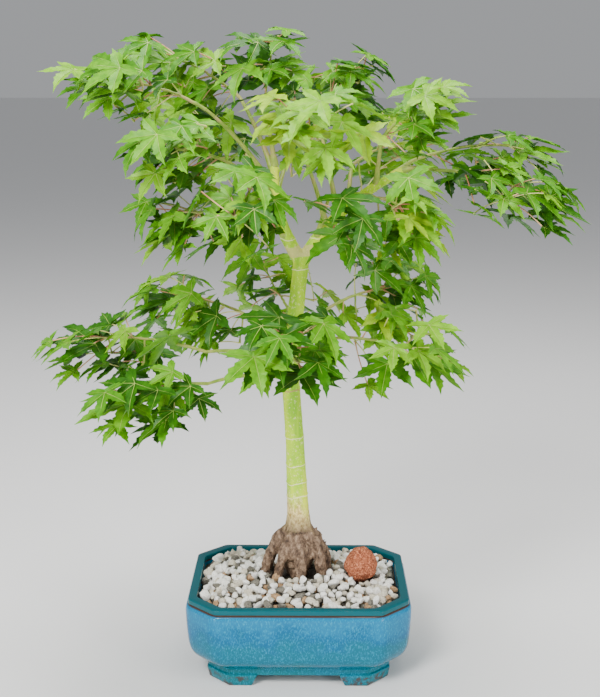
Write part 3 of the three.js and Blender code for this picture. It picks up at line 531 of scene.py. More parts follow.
# ---- Lava stone ----
# One red-brown scoria stone, higher than wide, set in the gravel; its skin is full of small open pores,
# painted near black in their hollows as shade.
ROCK_HALF = (16.0, 14.5, 17.5)
bpy.ops.mesh.primitive_ico_sphere_add(subdivisions=6, radius=1)
rock = bpy.context.object
rock.name = "lava_stone"
for v in rock.data.vertices:
    n = v.co.copy()
    lump = noise.noise(n * 1.7 + Vector((3, 1, 7))) * 0.13 + noise.noise(n * 3.9) * 0.035
    pore = min(noise.voronoi(n * 7.5)[0][0], 0.42)
    fine = min(noise.voronoi(n * 15 + Vector((5, 0, 0)))[0][0], 0.34)
    k = 0.92 + lump + (pore - 0.30) * 0.20 + (fine - 0.25) * 0.14
    lean = 1 - 0.20 * max(0.0, n.z)
    spot_on = np.array([n.x * ROCK_HALF[0] * lean, n.y * ROCK_HALF[1] * lean, n.z * ROCK_HALF[2]]) * k
    v.co = placed(spot_on + np.array(ROCK_AT))
bpy.ops.object.shade_smooth()
scoria, tree, shader = finish("red scoria", 0.95)
pores_and_shade = grain(tree, 620, 6.0, 0.75)
# Near black where the pores sink is painted shade in the pores; the rest is the stone's own red-brown.
coloured(tree, shader, pores_and_shade, [(0.36, (0.07, 0.014, 0.008)), (0.50, (0.50, 0.135, 0.055)),
                               (0.64, (0.90, 0.38, 0.20))])
relief(tree, shader, pores_and_shade, 0.0026)
rock.data.materials.append(scoria)
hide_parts("lava_rock")
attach(rock, "root")

# ---- Trunk, roots and the two limbs ----
# One young trunk, smooth and green with pale rings where old leaf pairs stood, on a brown foot that
# spreads into arching roots with hollows between them. It forks high up into two limbs.
# height, and the place of the trunk's middle there; height and half thickness
TRUNK_LINE = [(83, -2, 0), (133, -0.5, 0), (211, -3.9, 0), (249, -6.4, 0), (273, -8, 0), (330, -3, 0),
              (384, 2.7, 0)]
TRUNK_GIRTH = [(79, 10), (88, 12), (95, 15), (101, 19), (107, 20.5), (112, 19.5), (117, 16.8), (122, 14.4),
               (128, 12.4), (134, 11.2), (142, 10.3), (150, 9.9), (205, 8.5), (268, 8.1), (360, 7.0),
               (384, 7.2)]
TRUNK_STEP = 6.0
SCARS = (158.5, 171.6, 188.6, 215.4, 260.0)
FORK_SCARS = (370.0, 398.0, 430.0)
FORK_CROTCH = 386.5
SCAR_SWELL = 0.5
ROOT_REACH = 29.0
ROOT_TOP = 126.0
# turn in degrees, share of the reach, half thickness
ROOTS = [(-172, 1.03, 6.2), (-128, 0.95, 4.9), (-84, 0.84, 6.6), (-32, 0.98, 6.0), (8, 0.97, 6.4),
         (66, 0.9, 6.0), (122, 0.95, 6.4)]
LIMBS = {
    "L": ([(2.7, 0, 376), (-26, -8, 418), (-21, -8, 462)], (6.6, 4.2)),
    "R": ([(2.7, 0, 376), (28, 6, 424), (92, 2, 458)], (6.2, 3.6)),
}
VOXEL = 1.0


def along(table, z):
    """The values of a table at height z."""
    rows = np.array(table, float)
    return np.array([np.interp(z, rows[:, 0], rows[:, k]) for k in range(1, rows.shape[1])])


def tube(points, radii, sides):
    """Points and faces of a closed round bar whose rings stand square to its line."""
    points = np.asarray(points, float)
    ways = np.gradient(points, axis=0)
    ways /= np.linalg.norm(ways, axis=1)[:, None]
    across = np.array([1.0, 0, 0]) if abs(ways[0][0]) < 0.8 else np.array([0, 1.0, 0])
    ring_points, faces = [], []
    for k, (at, way) in enumerate(zip(points, ways)):
        across = across - way * across.dot(way)
        across /= np.linalg.norm(across)
        over = np.cross(way, across)
        for i in range(sides):
            turn = 2 * math.pi * i / sides
            ring_points.append(at + radii[k] * (math.cos(turn) * across + math.sin(turn) * over))
        if k:
            a, b = (k - 1) * sides, k * sides
            faces += [(a + i, a + (i + 1) % sides, b + (i + 1) % sides, b + i) for i in range(sides)]
    last = (len(points) - 1) * sides
    faces.append(tuple(reversed(range(sides))))
    faces.append(tuple(last + i for i in range(sides)))
    return ring_points, faces


def gather(tubes):
    """The points and faces of many tubes as one set."""
    whole = ([], [])
    for points, faces in tubes:
        add_to(whole, points, faces)
    return whole


wood = []
heights = np.arange(TRUNK_GIRTH[0][0], TRUNK_LINE[-1][0] + 2, TRUNK_STEP)
line = [(*along(TRUNK_LINE, z), z) for z in heights]
wood.append(tube(line, [along(TRUNK_GIRTH, z)[0] for z in heights], 28))
for turn, far, thick in ROOTS:
    c, s = math.cos(math.radians(turn)), math.sin(math.radians(turn))
    reach = ROOT_REACH * far
    start, knee = (-1 + 3 * c, 3 * s, ROOT_TOP), (-1 + reach * 0.98 * c, reach * 0.86 * s, ROOT_TOP - 9)
    foot = (-2 + reach * c, reach * s * 0.82, GROUND - 8)
    steps = np.linspace(0, 1, 9)
    aside = [np.array([0.9 * math.sin(7 * t + turn), 0.9 * math.cos(5 * t + turn), 0]) for t in steps]
    path = [bend(start, knee, foot, t) + out for t, out in zip(steps, aside)]
    girths = np.interp(steps, (0, 0.4, 0.75, 1), (thick * 1.1, thick, thick * 0.84, thick * 0.72))
    wood.append(tube(path, girths, 14))
for path, (thick, thin_end) in LIMBS.values():
    steps = np.linspace(0, 1, 12)
    wood.append(tube([bend(*path, t) for t in steps], [thick + (thin_end - thick) * t for t in steps], 18))
bark, tree, shader = finish("young bark", 0.6, Specular_IOR_Level=0.25)
trunk = object_from("trunk_and_limbs", *gather(wood), bark)
pick(trunk)
fuse = trunk.modifiers.new("grown together", "REMESH")
fuse.mode = "VOXEL"
fuse.voxel_size = VOXEL * MM
bpy.ops.object.modifier_apply(modifier="grown together")
soften = trunk.modifiers.new("soft hollows", "SMOOTH")
soften.factor = 0.5
soften.iterations = 5
bpy.ops.object.modifier_apply(modifier="soft hollows")


def trunk_relief(at):
    """How far the skin stands out, in millimetres: knotty low down, smooth with rings and pores above."""
    x, y, z = at
    low = min(1.0, max(0.0, (142 - z) / 22))
    knots = noise.noise(Vector((x, y, z * 0.8)) * 0.10) * 2.2
    knots += noise.noise(Vector((x, y, z * 0.6)) * 0.30) * 1.1
    cracks = abs(noise.noise(Vector((x * 0.6, y * 0.6, z * 0.2)) * 1.1)) * -1.6
    wobble = 0.9 * math.sin(3 * math.atan2(y, x + 4) + 0.07 * z)
    ring = sum(math.exp(-(((z + wobble - h) / 1.1) ** 2)) for h in SCARS + FORK_SCARS) * SCAR_SWELL
    skin = noise.noise(Vector((x * 1.1, y * 1.1, z * 0.25)) * 0.5) * 0.22
    return low * (knots + cracks) + (1 - low) * (ring + skin)


for v in trunk.data.vertices:
    at = (np.array(v.co) - POT_MIDDLE) / MM
    v.co = v.co + v.normal * (trunk_relief(at) * MM)
bpy.ops.object.shade_smooth()
SCAR_PALE = (0.86, 0.80, 0.46)
SCAR_BROWN = (0.42, 0.24, 0.11)
FORK_TAN = (0.66, 0.48, 0.26)
FLECK_PALE = (0.84, 0.78, 0.38)
# heights in metres over which the bark changes
TO_TAN = (0.164, 0.142)
TO_BROWN = (0.143, 0.126)
TO_ROUGH = (0.150, 0.128)
up = height_in(tree)
flecks = grain(tree, 520, 4.0, 0.65, (1, 1, 0.7))
streaks = grain(tree, 60, 3.0, 0.55, (1, 1, 0.22))
green = bands(tree, streaks, [(0.34, (0.22, 0.50, 0.000)), (0.5, (0.44, 0.70, 0.000)),
                              (0.66, (0.68, 0.80, 0.02))])
fleck = span_of(tree, flecks, 0.56, 0.66, 0.0, 0.65)
green = mixed(tree, fleck, green, FLECK_PALE)
tan = bands(tree, flecks, [(0.36, (0.34, 0.23, 0.05)), (0.6, (0.84, 0.68, 0.28))])
crust = grain(tree, 260, 6.0, 0.75, (1, 1, 0.6))
brown = bands(tree, crust, [(0.36, (0.030, 0.017, 0.011)), (0.5, (0.165, 0.104, 0.066)),
                            (0.64, (0.36, 0.250, 0.165))])
level = combined(tree, up, span_of(tree, streaks, 0.3, 0.7, -0.012, 0.012))
low_level = combined(tree, up, span_of(tree, streaks, 0.3, 0.7, -0.004, 0.004))
young = mixed(tree, span_of(tree, level, *TO_TAN), green, tan)
skin = mixed(tree, span_of(tree, low_level, *TO_BROWN), young, brown)
uneven = grain(tree, 70, 2.0, 0.5, (1, 1, 0.1))
scar_level = combined(tree, up, span_of(tree, uneven, 0.3, 0.7, -0.0018, 0.0018))
marks = [(h, 0.45, SCAR_PALE, 0.75) for h in SCARS[:-1] + FORK_SCARS]
marks += [(SCARS[-1], 0.8, SCAR_BROWN, 0.7), (FORK_CROTCH, 5.0, FORK_TAN, 0.6)]
for h, half, colour, share in marks:
    close = tree.nodes.new("ShaderNodeMath")
    close.operation = "COMPARE"
    close.inputs[1].default_value = h * MM
    close.inputs[2].default_value = half * MM
    tree.links.new(scar_level, close.inputs[0])
    skin = mixed(tree, span_of(tree, close.outputs[0], 0, 1, 0, share), skin, colour)
tree.links.new(skin, shader.inputs["Base Color"])
lumps = grain(tree, 230, 5.0, 0.65, (1, 1, 0.5))
roughened = combined(tree, lumps, span_of(tree, level, *TO_ROUGH, 0.15, 1.0), "MULTIPLY")
relief(tree, shader, roughened, 0.0016)
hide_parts("trunk", "limb_left", "limb_right")
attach(trunk, "root")

# ---- Boughs ----
# Slender boughs, each arching from its limb or from the trunk to where its spray of leaves begins, with a
# swollen collar at its foot. The table gives each spray's bough (the limb or the trunk that it leaves, how
# far along, and where it ends), the space that its leaves fill, its leading leaf's tip and its seed.
FIELDS = ("name", "source", "share", "entry", "reach", "spread", "rise", "above", "lead", "droop", "leaves",
          "seed")
SPRAYS = [
    ("far_left", "L", 0.78, (-78, -34, 511), (-200, -52, 531), 50, 34, 0, 60, (2, 34), 14, 2),
    ("top_left", "L", 0.92, (-52, 16, 520), (-164, 34, 563), 62, 40, -6, 52, (2, 30), 14, 16),
    ("top", "L", 1.0, (-28, -10, 505), (-34, -30, 575), 60, 58, 0, 42, (2, 34), 14, 6),
    ("top_right", "R", 0.46, (17, 8, 498), (80, -8, 547), 66, 44, -2, 50, (2, 34), 14, 5),
    ("right_top", "R", 0.8, (72, -10, 486), (154, -35, 520), 56, 38, -4, 54, (2, 34), 14, 8),
    ("left_mid", "L", 0.56, (-56, -52, 467), (-149, -98, 472), 62, 40, 0, 46, (5, 50), 14, 12),
    ("left_low", "L", 0.22, (-45, -36, 432), (-131, -76, 396), 60, 48, 0, 48, (15, 50), 14, 18),
    ("front_left", "L", 0.36, (-31, -44, 456), (-49, -150, 416), 70, 52, 0, 48, (20, 55), 14, 6),
    ("front_right", "R", 0.22, (27, -32, 438), (42, -125, 384), 66, 56, 0, 48, (20, 55), 14, 14),
    ("right_low", "R", 0.66, (66, -34, 437), (119, -80, 397), 60, 50, 0, 46, (15, 50), 14, 18),
    ("right_mid", "R", 0.92, (109, 28, 467), (251, 50, 465), 60, 32, -8, 52, (2, 34), 12, 1),
    ("far_right", "R", 1.0, (119, -12, 459), (250, -45, 409), 56, 36, 0, 66, (8, 40), 14, 4),
    ("centre", "R", 0.34, (6, -24, 468), (14, -135, 498), 80, 50, 0, 48, (10, 50), 11, 14),
    ("back_left", "L", 0.46, (-43, 38, 464), (-121, 165, 476), 70, 56, 0, 50, (4, 40), 10, 14),
    ("back", "L", 0.66, (-7, 45, 473), (10, 185, 505), 72, 58, 0, 50, (4, 40), 10, 17),
    ("back_right", "R", 0.56, (48, 48, 459), (131, 170, 466), 72, 56, 0, 50, (4, 40), 10, 14),
    ("low_far_left", "T", 0.27, (-82, -26, 300), (-231, -46, 306), 56, 38, -8, 54, (10, 50), 11, 11),
    ("low_left_down", "T", 0.03, (-79, -50, 277), (-183, -112, 255), 60, 42, -6, 50, (15, 50), 8, 9),
    ("low_left", "T", 0.57, (-43, 24, 321), (-165, 74, 329), 66, 44, -8, 48, (10, 50), 13, 19),
    ("low_front", "T", 0.4, (-13, -40, 307), (17, -130, 275), 84, 42, 14, 48, (15, 50), 11, 7),
    ("low_right", "T", 0.2, (35, -26, 313), (144, -70, 284), 66, 46, 0, 52, (15, 50), 11, 5),
    ("low_right_up", "T", 0.63, (36, 22, 336), (131, 60, 333), 60, 44, 0, 48, (10, 50), 14, 16),
    ("low_back", "T", 0.83, (-7, 36, 319), (-39, 150, 326), 76, 54, 0, 50, (10, 50), 10, 10),
]
sprays = [dict(zip(FIELDS, row)) for row in SPRAYS]
LOW_BOUGHS = (268.0, 60.0)     # where the lower tier's boughs start on the trunk, and over what height
for spray in sprays:
    spray["entry"], spray["reach"] = np.array(spray["entry"], float), np.array(spray["reach"], float)
    if spray["source"] == "T":
        z = LOW_BOUGHS[0] + spray["share"] * LOW_BOUGHS[1]
        start = np.array([*along(TRUNK_LINE, z), z])
    else:
        start = bend(*LIMBS[spray["source"]][0], spray["share"])
    knee = (start + spray["entry"]) / 2 + np.array([0, 0, 0.12 * np.linalg.norm(spray["entry"] - start)])
    spray["bough"] = (start, knee, spray["entry"])
bars = []
for spray in sprays:
    steps = np.linspace(0, 1, 10)
    path = [bend(*spray["bough"], t) for t in steps]
    girths = [2.3 - 0.9 * t + 1.5 * math.exp(-((t / 0.16) ** 2)) for t in steps]
    bars.append(tube(path, girths, 10))
shoot, tree, shader = finish("shoot bark", 0.5)
patches = grain(tree, 90, 4.0, 0.6)
coloured(tree, shader, patches, [(0.34, (0.18, 0.32, 0.02)), (0.52, (0.34, 0.43, 0.06)),
                                 (0.68, (0.48, 0.36, 0.15))])
relief(tree, shader, patches, 0.0003, 0.5)
boughs = object_from("boughs", *gather(bars), shoot, 60)
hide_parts(*["bough_" + spray["name"] for spray in sprays])
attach(boughs, "root")

# ---- Twigs and leaf stalks ----
# From each bough's end a stem runs to the leading leaf. Twigs leave it wherever a place in the spray's
# space is free, and each carries up to three leaves on thin stalks; a second, finer growth fills in.
LEAF_RING = ((0, 1.0), (23, 0.46), (48, 0.92), (76, 0.38), (104, 0.66), (180, 0.1))
OUTLINE = np.array(LEAF_RING + tuple((-a, r) for a, r in reversed(LEAF_RING[1:-1])), float)
LOBE_POINTS = np.array([(a, r * k) for a, r in ((0, 1.0), (48, 0.92), (-48, 0.92), (104, 0.66), (-104, 0.66))
                        for k in (0.35, 0.7, 1.0)])
LEAF_SAG = 0.16
LEAF_FACE = 18                 # a leaf that points sideways turns its face this much to the front
GROWTHS = (
    dict(length=(32, 47), stalk=(12, 26), apart=17, near=2.0, tries=600),
    dict(length=(26, 42), stalk=(10, 26), apart=11, near=0.8, tries=600),
)
EXTRA_LEAVES = 9
LONGEST_TWIG = 46
LONGEST_STALK = 52
LIFT = (-0.1, 0.7)
# The fork is open to the front: seen from FRONT, no leaf hides this oval round it, given as x and z.
FRONT = np.array((10.0, -1100.0, 540.0))
FORK_OPEN = ((6, 375), (23, 34))
UP = np.array((0.0, 0.0, 1.0))


def seeded(seed):
    """The same run of numbers for the same seed, wherever it is written."""
    state = [seed & 0xFFFFFFFF]

    def draw(low=0.0, high=1.0):
        state[0] = (state[0] + 0x6D2B79F5) & 0xFFFFFFFF
        t = ((state[0] ^ (state[0] >> 15)) * (state[0] | 1)) & 0xFFFFFFFF
        t = ((t + (((t ^ (t >> 7)) * (t | 61)) & 0xFFFFFFFF)) & 0xFFFFFFFF) ^ t
        return low + (high - low) * ((t ^ (t >> 14)) / 4294967296)
    return draw


def cross(a, b):
    return np.array((a[1] * b[2] - a[2] * b[1], a[2] * b[0] - a[0] * b[2], a[0] * b[1] - a[1] * b[0]))


def size(a):
    return math.sqrt(a.dot(a))


def unit(a):
    return a / size(a)


def turned(v, degrees):
    c, s = math.cos(math.radians(degrees)), math.sin(math.radians(degrees))
    return np.array((v[0] * c - v[1] * s, v[0] * s + v[1] * c, v[2]))


def leaf_at(at, heading, droop, roll, length, node):
    """A leaf's middle, its own three directions (to its tip, across, up) and where its stalk starts."""
    k = math.hypot(heading[0], heading[1])
    hx, hy = heading[0] / k, heading[1] / k
    c, s = math.cos(math.radians(droop)), math.sin(math.radians(droop))
    turn = math.radians(roll + LEAF_FACE * hx)
    x, z = np.array((hx * c, hy * c, -s)), np.array((hx * s, hy * s, c))
    y = cross(z, x)
    across, over = y * math.cos(turn) + z * math.sin(turn), z * math.cos(turn) - y * math.sin(turn)
    return dict(at=at, axes=np.array((x, across, over)), length=length, node=node)


def on_leaf(leaf, ring):
    turn, r = np.radians(ring[:, 0]), ring[:, 1]
    own = np.stack((np.cos(turn) * r, np.sin(turn) * r, -LEAF_SAG * r * r), axis=1)
    return leaf["at"] + own @ leaf["axes"] * leaf["length"]


def probes(leaf):
    """Points along the lobes, for telling whether this leaf would cut another."""
    return np.vstack((leaf["at"], (leaf["at"] + leaf["node"]) / 2, on_leaf(leaf, LOBE_POINTS)))


def cuts(points, leaves, near):
    """Whether any of the points comes near a blade; points are one set for all leaves or a set for each."""
    at = np.array([o["at"] for o in leaves])
    axes = np.array([o["axes"] for o in leaves])
    length = np.array([o["length"] for o in leaves])[:, None]
    own = (points - at[:, None, :]) @ axes.swapaxes(1, 2)
    rr = own[..., 0] ** 2 + own[..., 1] ** 2
    beside = (rr < (0.8 * length) ** 2) & (own[..., 0] > -0.3 * length)
    return bool((beside & (np.abs(own[..., 2] + LEAF_SAG * rr / length) < near)).any())


def leader(spray):
    """The spray's leading leaf, whose middle tip lies on the reach, and its stem."""
    tip = unit(spray["frame"][0] - 0.12 * UP)
    hub = spray["reach"] - tip * spray["lead"]
    end = hub - 12 * unit(tip - 0.35 * UP)
    droop = math.degrees(math.asin(-tip[2])) - math.degrees(math.atan(LEAF_SAG))
    middle = (spray["entry"] + end) / 2 + 0.1 * size(end - spray["entry"]) * UP
    stem = [bend(spray["entry"], middle, end, i / 4) for i in range(5)]
    return leaf_at(hub, tip, droop, 0, spray["lead"], end), stem


for spray in sprays:
    half = 0.5 * size(spray["reach"] - spray["entry"])
    forward = unit(spray["reach"] - spray["entry"])
    side = unit(cross(UP, forward))
    spray["frame"] = np.array((forward, side, cross(forward, side)))
    spray["half"] = np.array((half * 1.12, spray["spread"], spray["rise"]))
    spray["mid"] = (spray["entry"] + spray["reach"]) / 2 + spray["above"] * spray["frame"][2]
    leaf, stem = leader(spray)
    spray["kept"] = np.vstack((on_leaf(leaf, OUTLINE), leaf["at"], stem))
for a in sprays:
    ways, ends = [], []
    for b in sprays:
        if a is b:
            continue
        way = unit(b["mid"] - a["mid"])
        apart = size(b["mid"] - a["mid"])
        spans = [size(one["frame"] @ way * one["half"]) for one in (a, b)]
        low = ((a["kept"] - a["mid"]) @ way).max() + 2
        high = ((b["kept"] - a["mid"]) @ way).min() - 2
        cut = (low + high) / 2 if low > high else max(low, min(high, apart * spans[0] / sum(spans)))
        ways.append(way)
        ends.append(a["mid"].dot(way) + cut - 0.7)
    a["ways"], a["ends"] = np.array(ways), np.array(ends)


def inside(spray, points, share):
    """Whether the points lie in the spray's space, and in this share of its oval unless the share is 0."""
    points = np.atleast_2d(points)
    if share:
        own = (points - spray["mid"]) @ spray["frame"].T / spray["half"]
        if (own ** 2).sum(axis=1).max() > share:
            return False
    return bool((points @ spray["ways"].T <= spray["ends"]).all())


# Wood that leaves and twigs keep clear of, as straight lengths with a half thickness.
SOLID_GIRTH = [(83, 17), (96, 15), (112, 12.2), (126, 10.6), (150, 10.0), (205, 8.5), (268, 8.1), (360, 7.0),
               (384, 7.8)]
lengths = []
swollen = [along(SOLID_GIRTH, p[0])[0] + sum(0.7 * math.exp(-(((p[0] - h) / 4) ** 2)) for h in SCARS)
           for p in TRUNK_LINE]
for i, (p, q) in enumerate(zip(TRUNK_LINE, TRUNK_LINE[1:])):
    lengths.append(((p[1], p[2], p[0]), (q[1], q[2], q[0]), max(swollen[i], swollen[i + 1])))
for path, (thick, thin_end) in LIMBS.values():
    for i in range(5):
        lengths.append((bend(*path, i / 5), bend(*path, (i + 1) / 5), thick + (thin_end - thick) * i / 5))
for spray in sprays:
    for i in range(2):
        lengths.append((bend(*spray["bough"], i / 2), bend(*spray["bough"], (i + 1) / 2), 2.6 - 0.3 * i))
wood_from = np.array([a for a, _, _ in lengths], float)
wood_run = np.array([b for _, b, _ in lengths], float) - wood_from
wood_half = np.array([r for _, _, r in lengths])
wood_square = (wood_run ** 2).sum(axis=1)


def clear(points, gap):
    """Whether all the points keep this far from the wood."""
    out = np.atleast_2d(points)[:, None, :] - wood_from
    share = np.clip((out * wood_run).sum(axis=2) / wood_square, 0, 1)
    out = out - share[..., None] * wood_run
    return bool(((out ** 2).sum(axis=2) >= (wood_half + gap) ** 2).all())


def hides_fork(points):
    """Whether any of the points stands before the fork, seen from the front."""
    near = points[points[:, 1] <= -6]
    seen = FRONT + (near - FRONT) * (FRONT[1] / (FRONT[1] - near[:, 1:2]))
    return bool(((((seen[:, ::2] - FORK_OPEN[0]) / FORK_OPEN[1]) ** 2).sum(axis=1) < 1).any())


def fits(spray, leaf, leaves, joints, growth):
    """Whether a leaf lies in its spray's space, clear of wood, of other leaves and of the fork."""
    hubs = np.array([o["at"] for o in leaves]) - leaf["at"]
    if (hubs ** 2).sum(axis=1).min() < growth["apart"] ** 2:
        return False
    if not inside(spray, leaf["at"], 0.86) or not clear(leaf["at"], 4):
        return False
    outline = on_leaf(leaf, OUTLINE)
    if not inside(spray, outline[0], 1) or not inside(spray, outline[1:], 0) or not clear(outline, 2):
        return False
    if not clear((leaf["at"] + leaf["node"]) / 2, 2.5):
        return False
    leaf["probes"] = probes(leaf)
    if hides_fork(leaf["probes"]):
        return False
    if cuts(leaf["probes"], leaves, growth["near"]) or cuts(np.array(joints), [leaf], 1.2):
        return False
    return not cuts(np.array([o["probes"] for o in leaves]).reshape(1, -1, 3), [leaf], growth["near"])


def grow(spray, growth, most, draw, leaves, twigs, joints):
    """Adds twigs and leaves to a spray until it has most leaves or every place has been tried."""
    start = twigs[0][0]
    for _ in range(growth["tries"]):
        if len(leaves) >= most:
            break
        spot = np.array((draw(-1, 1), draw(-1, 1), draw(-1, 1)))
        node = spray["mid"] + spot * spray["half"] @ spray["frame"]
        if not inside(spray, node, 1) or not clear(node, 3):
            continue
        far = ((np.array(joints) - node) ** 2).sum(axis=1)
        near, gap = joints[int(far.argmin())], math.sqrt(far.min())
        if gap > LONGEST_TWIG:
            continue
        at_joint = gap < 9
        if at_joint:
            node = near
        way = unit(node - (start if at_joint else near))
        bow = (near + node) / 2 + 0.06 * gap * UP
        path = [bend(near, bow, node, k / 2) for k in range(3)]
        if not inside(spray, path[1:], 0) or not clear(path[1:], 2) or cuts(np.array(path), leaves, 1.2):
            continue
        flat = cross(UP, way)
        flat = unit(flat) if size(flat) > 0.15 else spray["frame"][1]
        out = unit(node * (1, 1, 0))
        got = 0
        for turn in (1, -1, 0):
            if turn == 0 and at_joint:
                continue
            for _ in range(6):
                length, stalk, lift = draw(*growth["length"]), draw(*growth["stalk"]), draw(*LIFT)
                droop, roll, sway = draw(*spray["droop"]), draw(-22, 22), draw(-30, 30)
                base = flat * turn if turn else way * (1, 1, 0)
                at = node + stalk * unit(base + 0.35 * out + lift * UP)
                head = turned(base * (0.8, 0.8, 0) + 0.8 * out, sway)
                leaf = leaf_at(at, head, droop, roll, length, node)
                if fits(spray, leaf, leaves, joints, growth):
                    leaves.append(leaf)
                    got += 1
                    break
        if got == 1 and not at_joint:
            one = leaves[-1]
            half = (one["at"] + near) / 2
            short = size(one["at"] - near) < LONGEST_STALK and clear(half, 2)
            if short and not cuts(half[None], [one], 1.0) and not cuts(half[None], leaves[:-1], 1.2):
                one["node"] = near
                one["probes"] = probes(one)
                continue
        if got and not at_joint:
            twigs.append(path)
            joints.extend((node, path[1]))


twig_bars, stalk_bars = [], {"pink": [], "green": []}
every_leaf = []
for number, spray in enumerate(sprays):
    first, stem = leader(spray)
    first["probes"] = probes(first)
    leaves, twigs = [first], [stem]
    joints = [(stem[i] + stem[i + 1]) / 2 for i in range(4)] + stem[1:]
    grow(spray, GROWTHS[0], spray["leaves"], seeded(spray["seed"]), leaves, twigs, joints)
    grow(spray, GROWTHS[1], len(leaves) + EXTRA_LEAVES, seeded(500 + number), leaves, twigs, joints)
    taste = np.random.default_rng(100 + number)
    for k, path in enumerate(twigs):
        count, thick, thin_end = (14, 1.6, 0.9) if k == 0 else (7, 0.95, 0.7)
        steps = np.linspace(0, 1, count)
        belly = 2 * path[len(path) // 2] - (path[0] + path[-1]) / 2
        line = np.array([bend(path[0], belly, path[-1], t) for t in steps])
        line += taste.uniform(-0.5, 0.5, (count, 3)) * np.sin(math.pi * steps)[:, None]
        girths = thick + (thin_end - thick) * steps + 0.5 * np.exp(-((1 - steps) / 0.08) ** 2)
        twig_bars.append(tube(line, girths, 7))
    tint = taste.random()
    for leaf in leaves:
        leaf["tint"] = 0.45 * tint + 0.55 * taste.random()
        heel = leaf["at"] - 0.04 * leaf["length"] * leaf["axes"][0]
        reach = size(heel - leaf["node"])
        belly = (heel + leaf["node"]) / 2 + reach * taste.uniform(-0.02, 0.16) * UP
        belly = belly + reach * taste.uniform(-0.12, 0.12) * leaf["axes"][1]
        steps = np.linspace(0, 1, 7)
        girths = 0.56 + 0.25 * np.exp(-(steps / 0.15) ** 2) + 0.12 * np.exp(-((1 - steps) / 0.12) ** 2)
        kind = "pink" if taste.random() < 0.5 else "green"
        stalk_bars[kind].append(tube([bend(leaf["node"], belly, heel, t) for t in steps], girths, 5))
        every_leaf.append(leaf)
twigs_piece = object_from("twigs", *gather(twig_bars), shoot, 60)
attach(twigs_piece, "root")
STALK_COLOURS = {
    "pink": ((0.52, 0.20, 0.10), (0.74, 0.46, 0.24)),
    "green": ((0.46, 0.54, 0.10), (0.74, 0.70, 0.28)),
}
for kind, bars in stalk_bars.items():
    skin, tree, shader = finish(kind + " leaf stalk", 0.42)
    blush = grain(tree, 40, 2.0, 0.5)
    coloured(tree, shader, blush, list(zip((0.38, 0.62), STALK_COLOURS[kind])))
    stalks = object_from("leaf_stalks_" + kind, *gather(bars), skin, 80)
    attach(stalks, "root")

# ---- Leaves ----
# Thin five-lobed blades with long tips and toothed edges, creased along each lobe's rib, a little arched
# and curled at the tips. Sprays differ in green, and a pale rib runs up the middle of every lobe.
# Each edge point of a lobe is its share along the lobe and its half width.
CENTRE_EDGE = ((0.36, 0.145), (0.41, 0.122), (0.52, 0.176), (0.57, 0.130), (0.67, 0.142), (0.72, 0.088),
               (0.80, 0.084), (0.85, 0.040))
SIDE_EDGE = ((0.42, 0.148), (0.47, 0.120), (0.60, 0.160), (0.66, 0.104), (0.76, 0.102), (0.82, 0.044))
LOW_EDGE = ((0.46, 0.140), (0.53, 0.108), (0.68, 0.104), (0.76, 0.046))
# Each lobe's angle, its length as a share of the leaf, its edge and the shares along its rib.
LOBES = (
    (0, 1.0, CENTRE_EDGE, (0.42, 0.74)),
    (50, 0.93, SIDE_EDGE, (0.55,)),
    (-50, 0.93, SIDE_EDGE, (0.55,)),
    (106, 0.68, LOW_EDGE, (0.55,)),
    (-106, 0.68, LOW_EDGE, (0.55,)),
)
NOTCHES = {25: 0.30, 78: 0.25, 180: 0.07}
CREASE = 0.26                  # how steeply a lobe's halves rise from its rib
RIB_HALF = 0.30
RIB_PROUD = 0.006              # how far a rib stands off its blade, as a share of the leaf


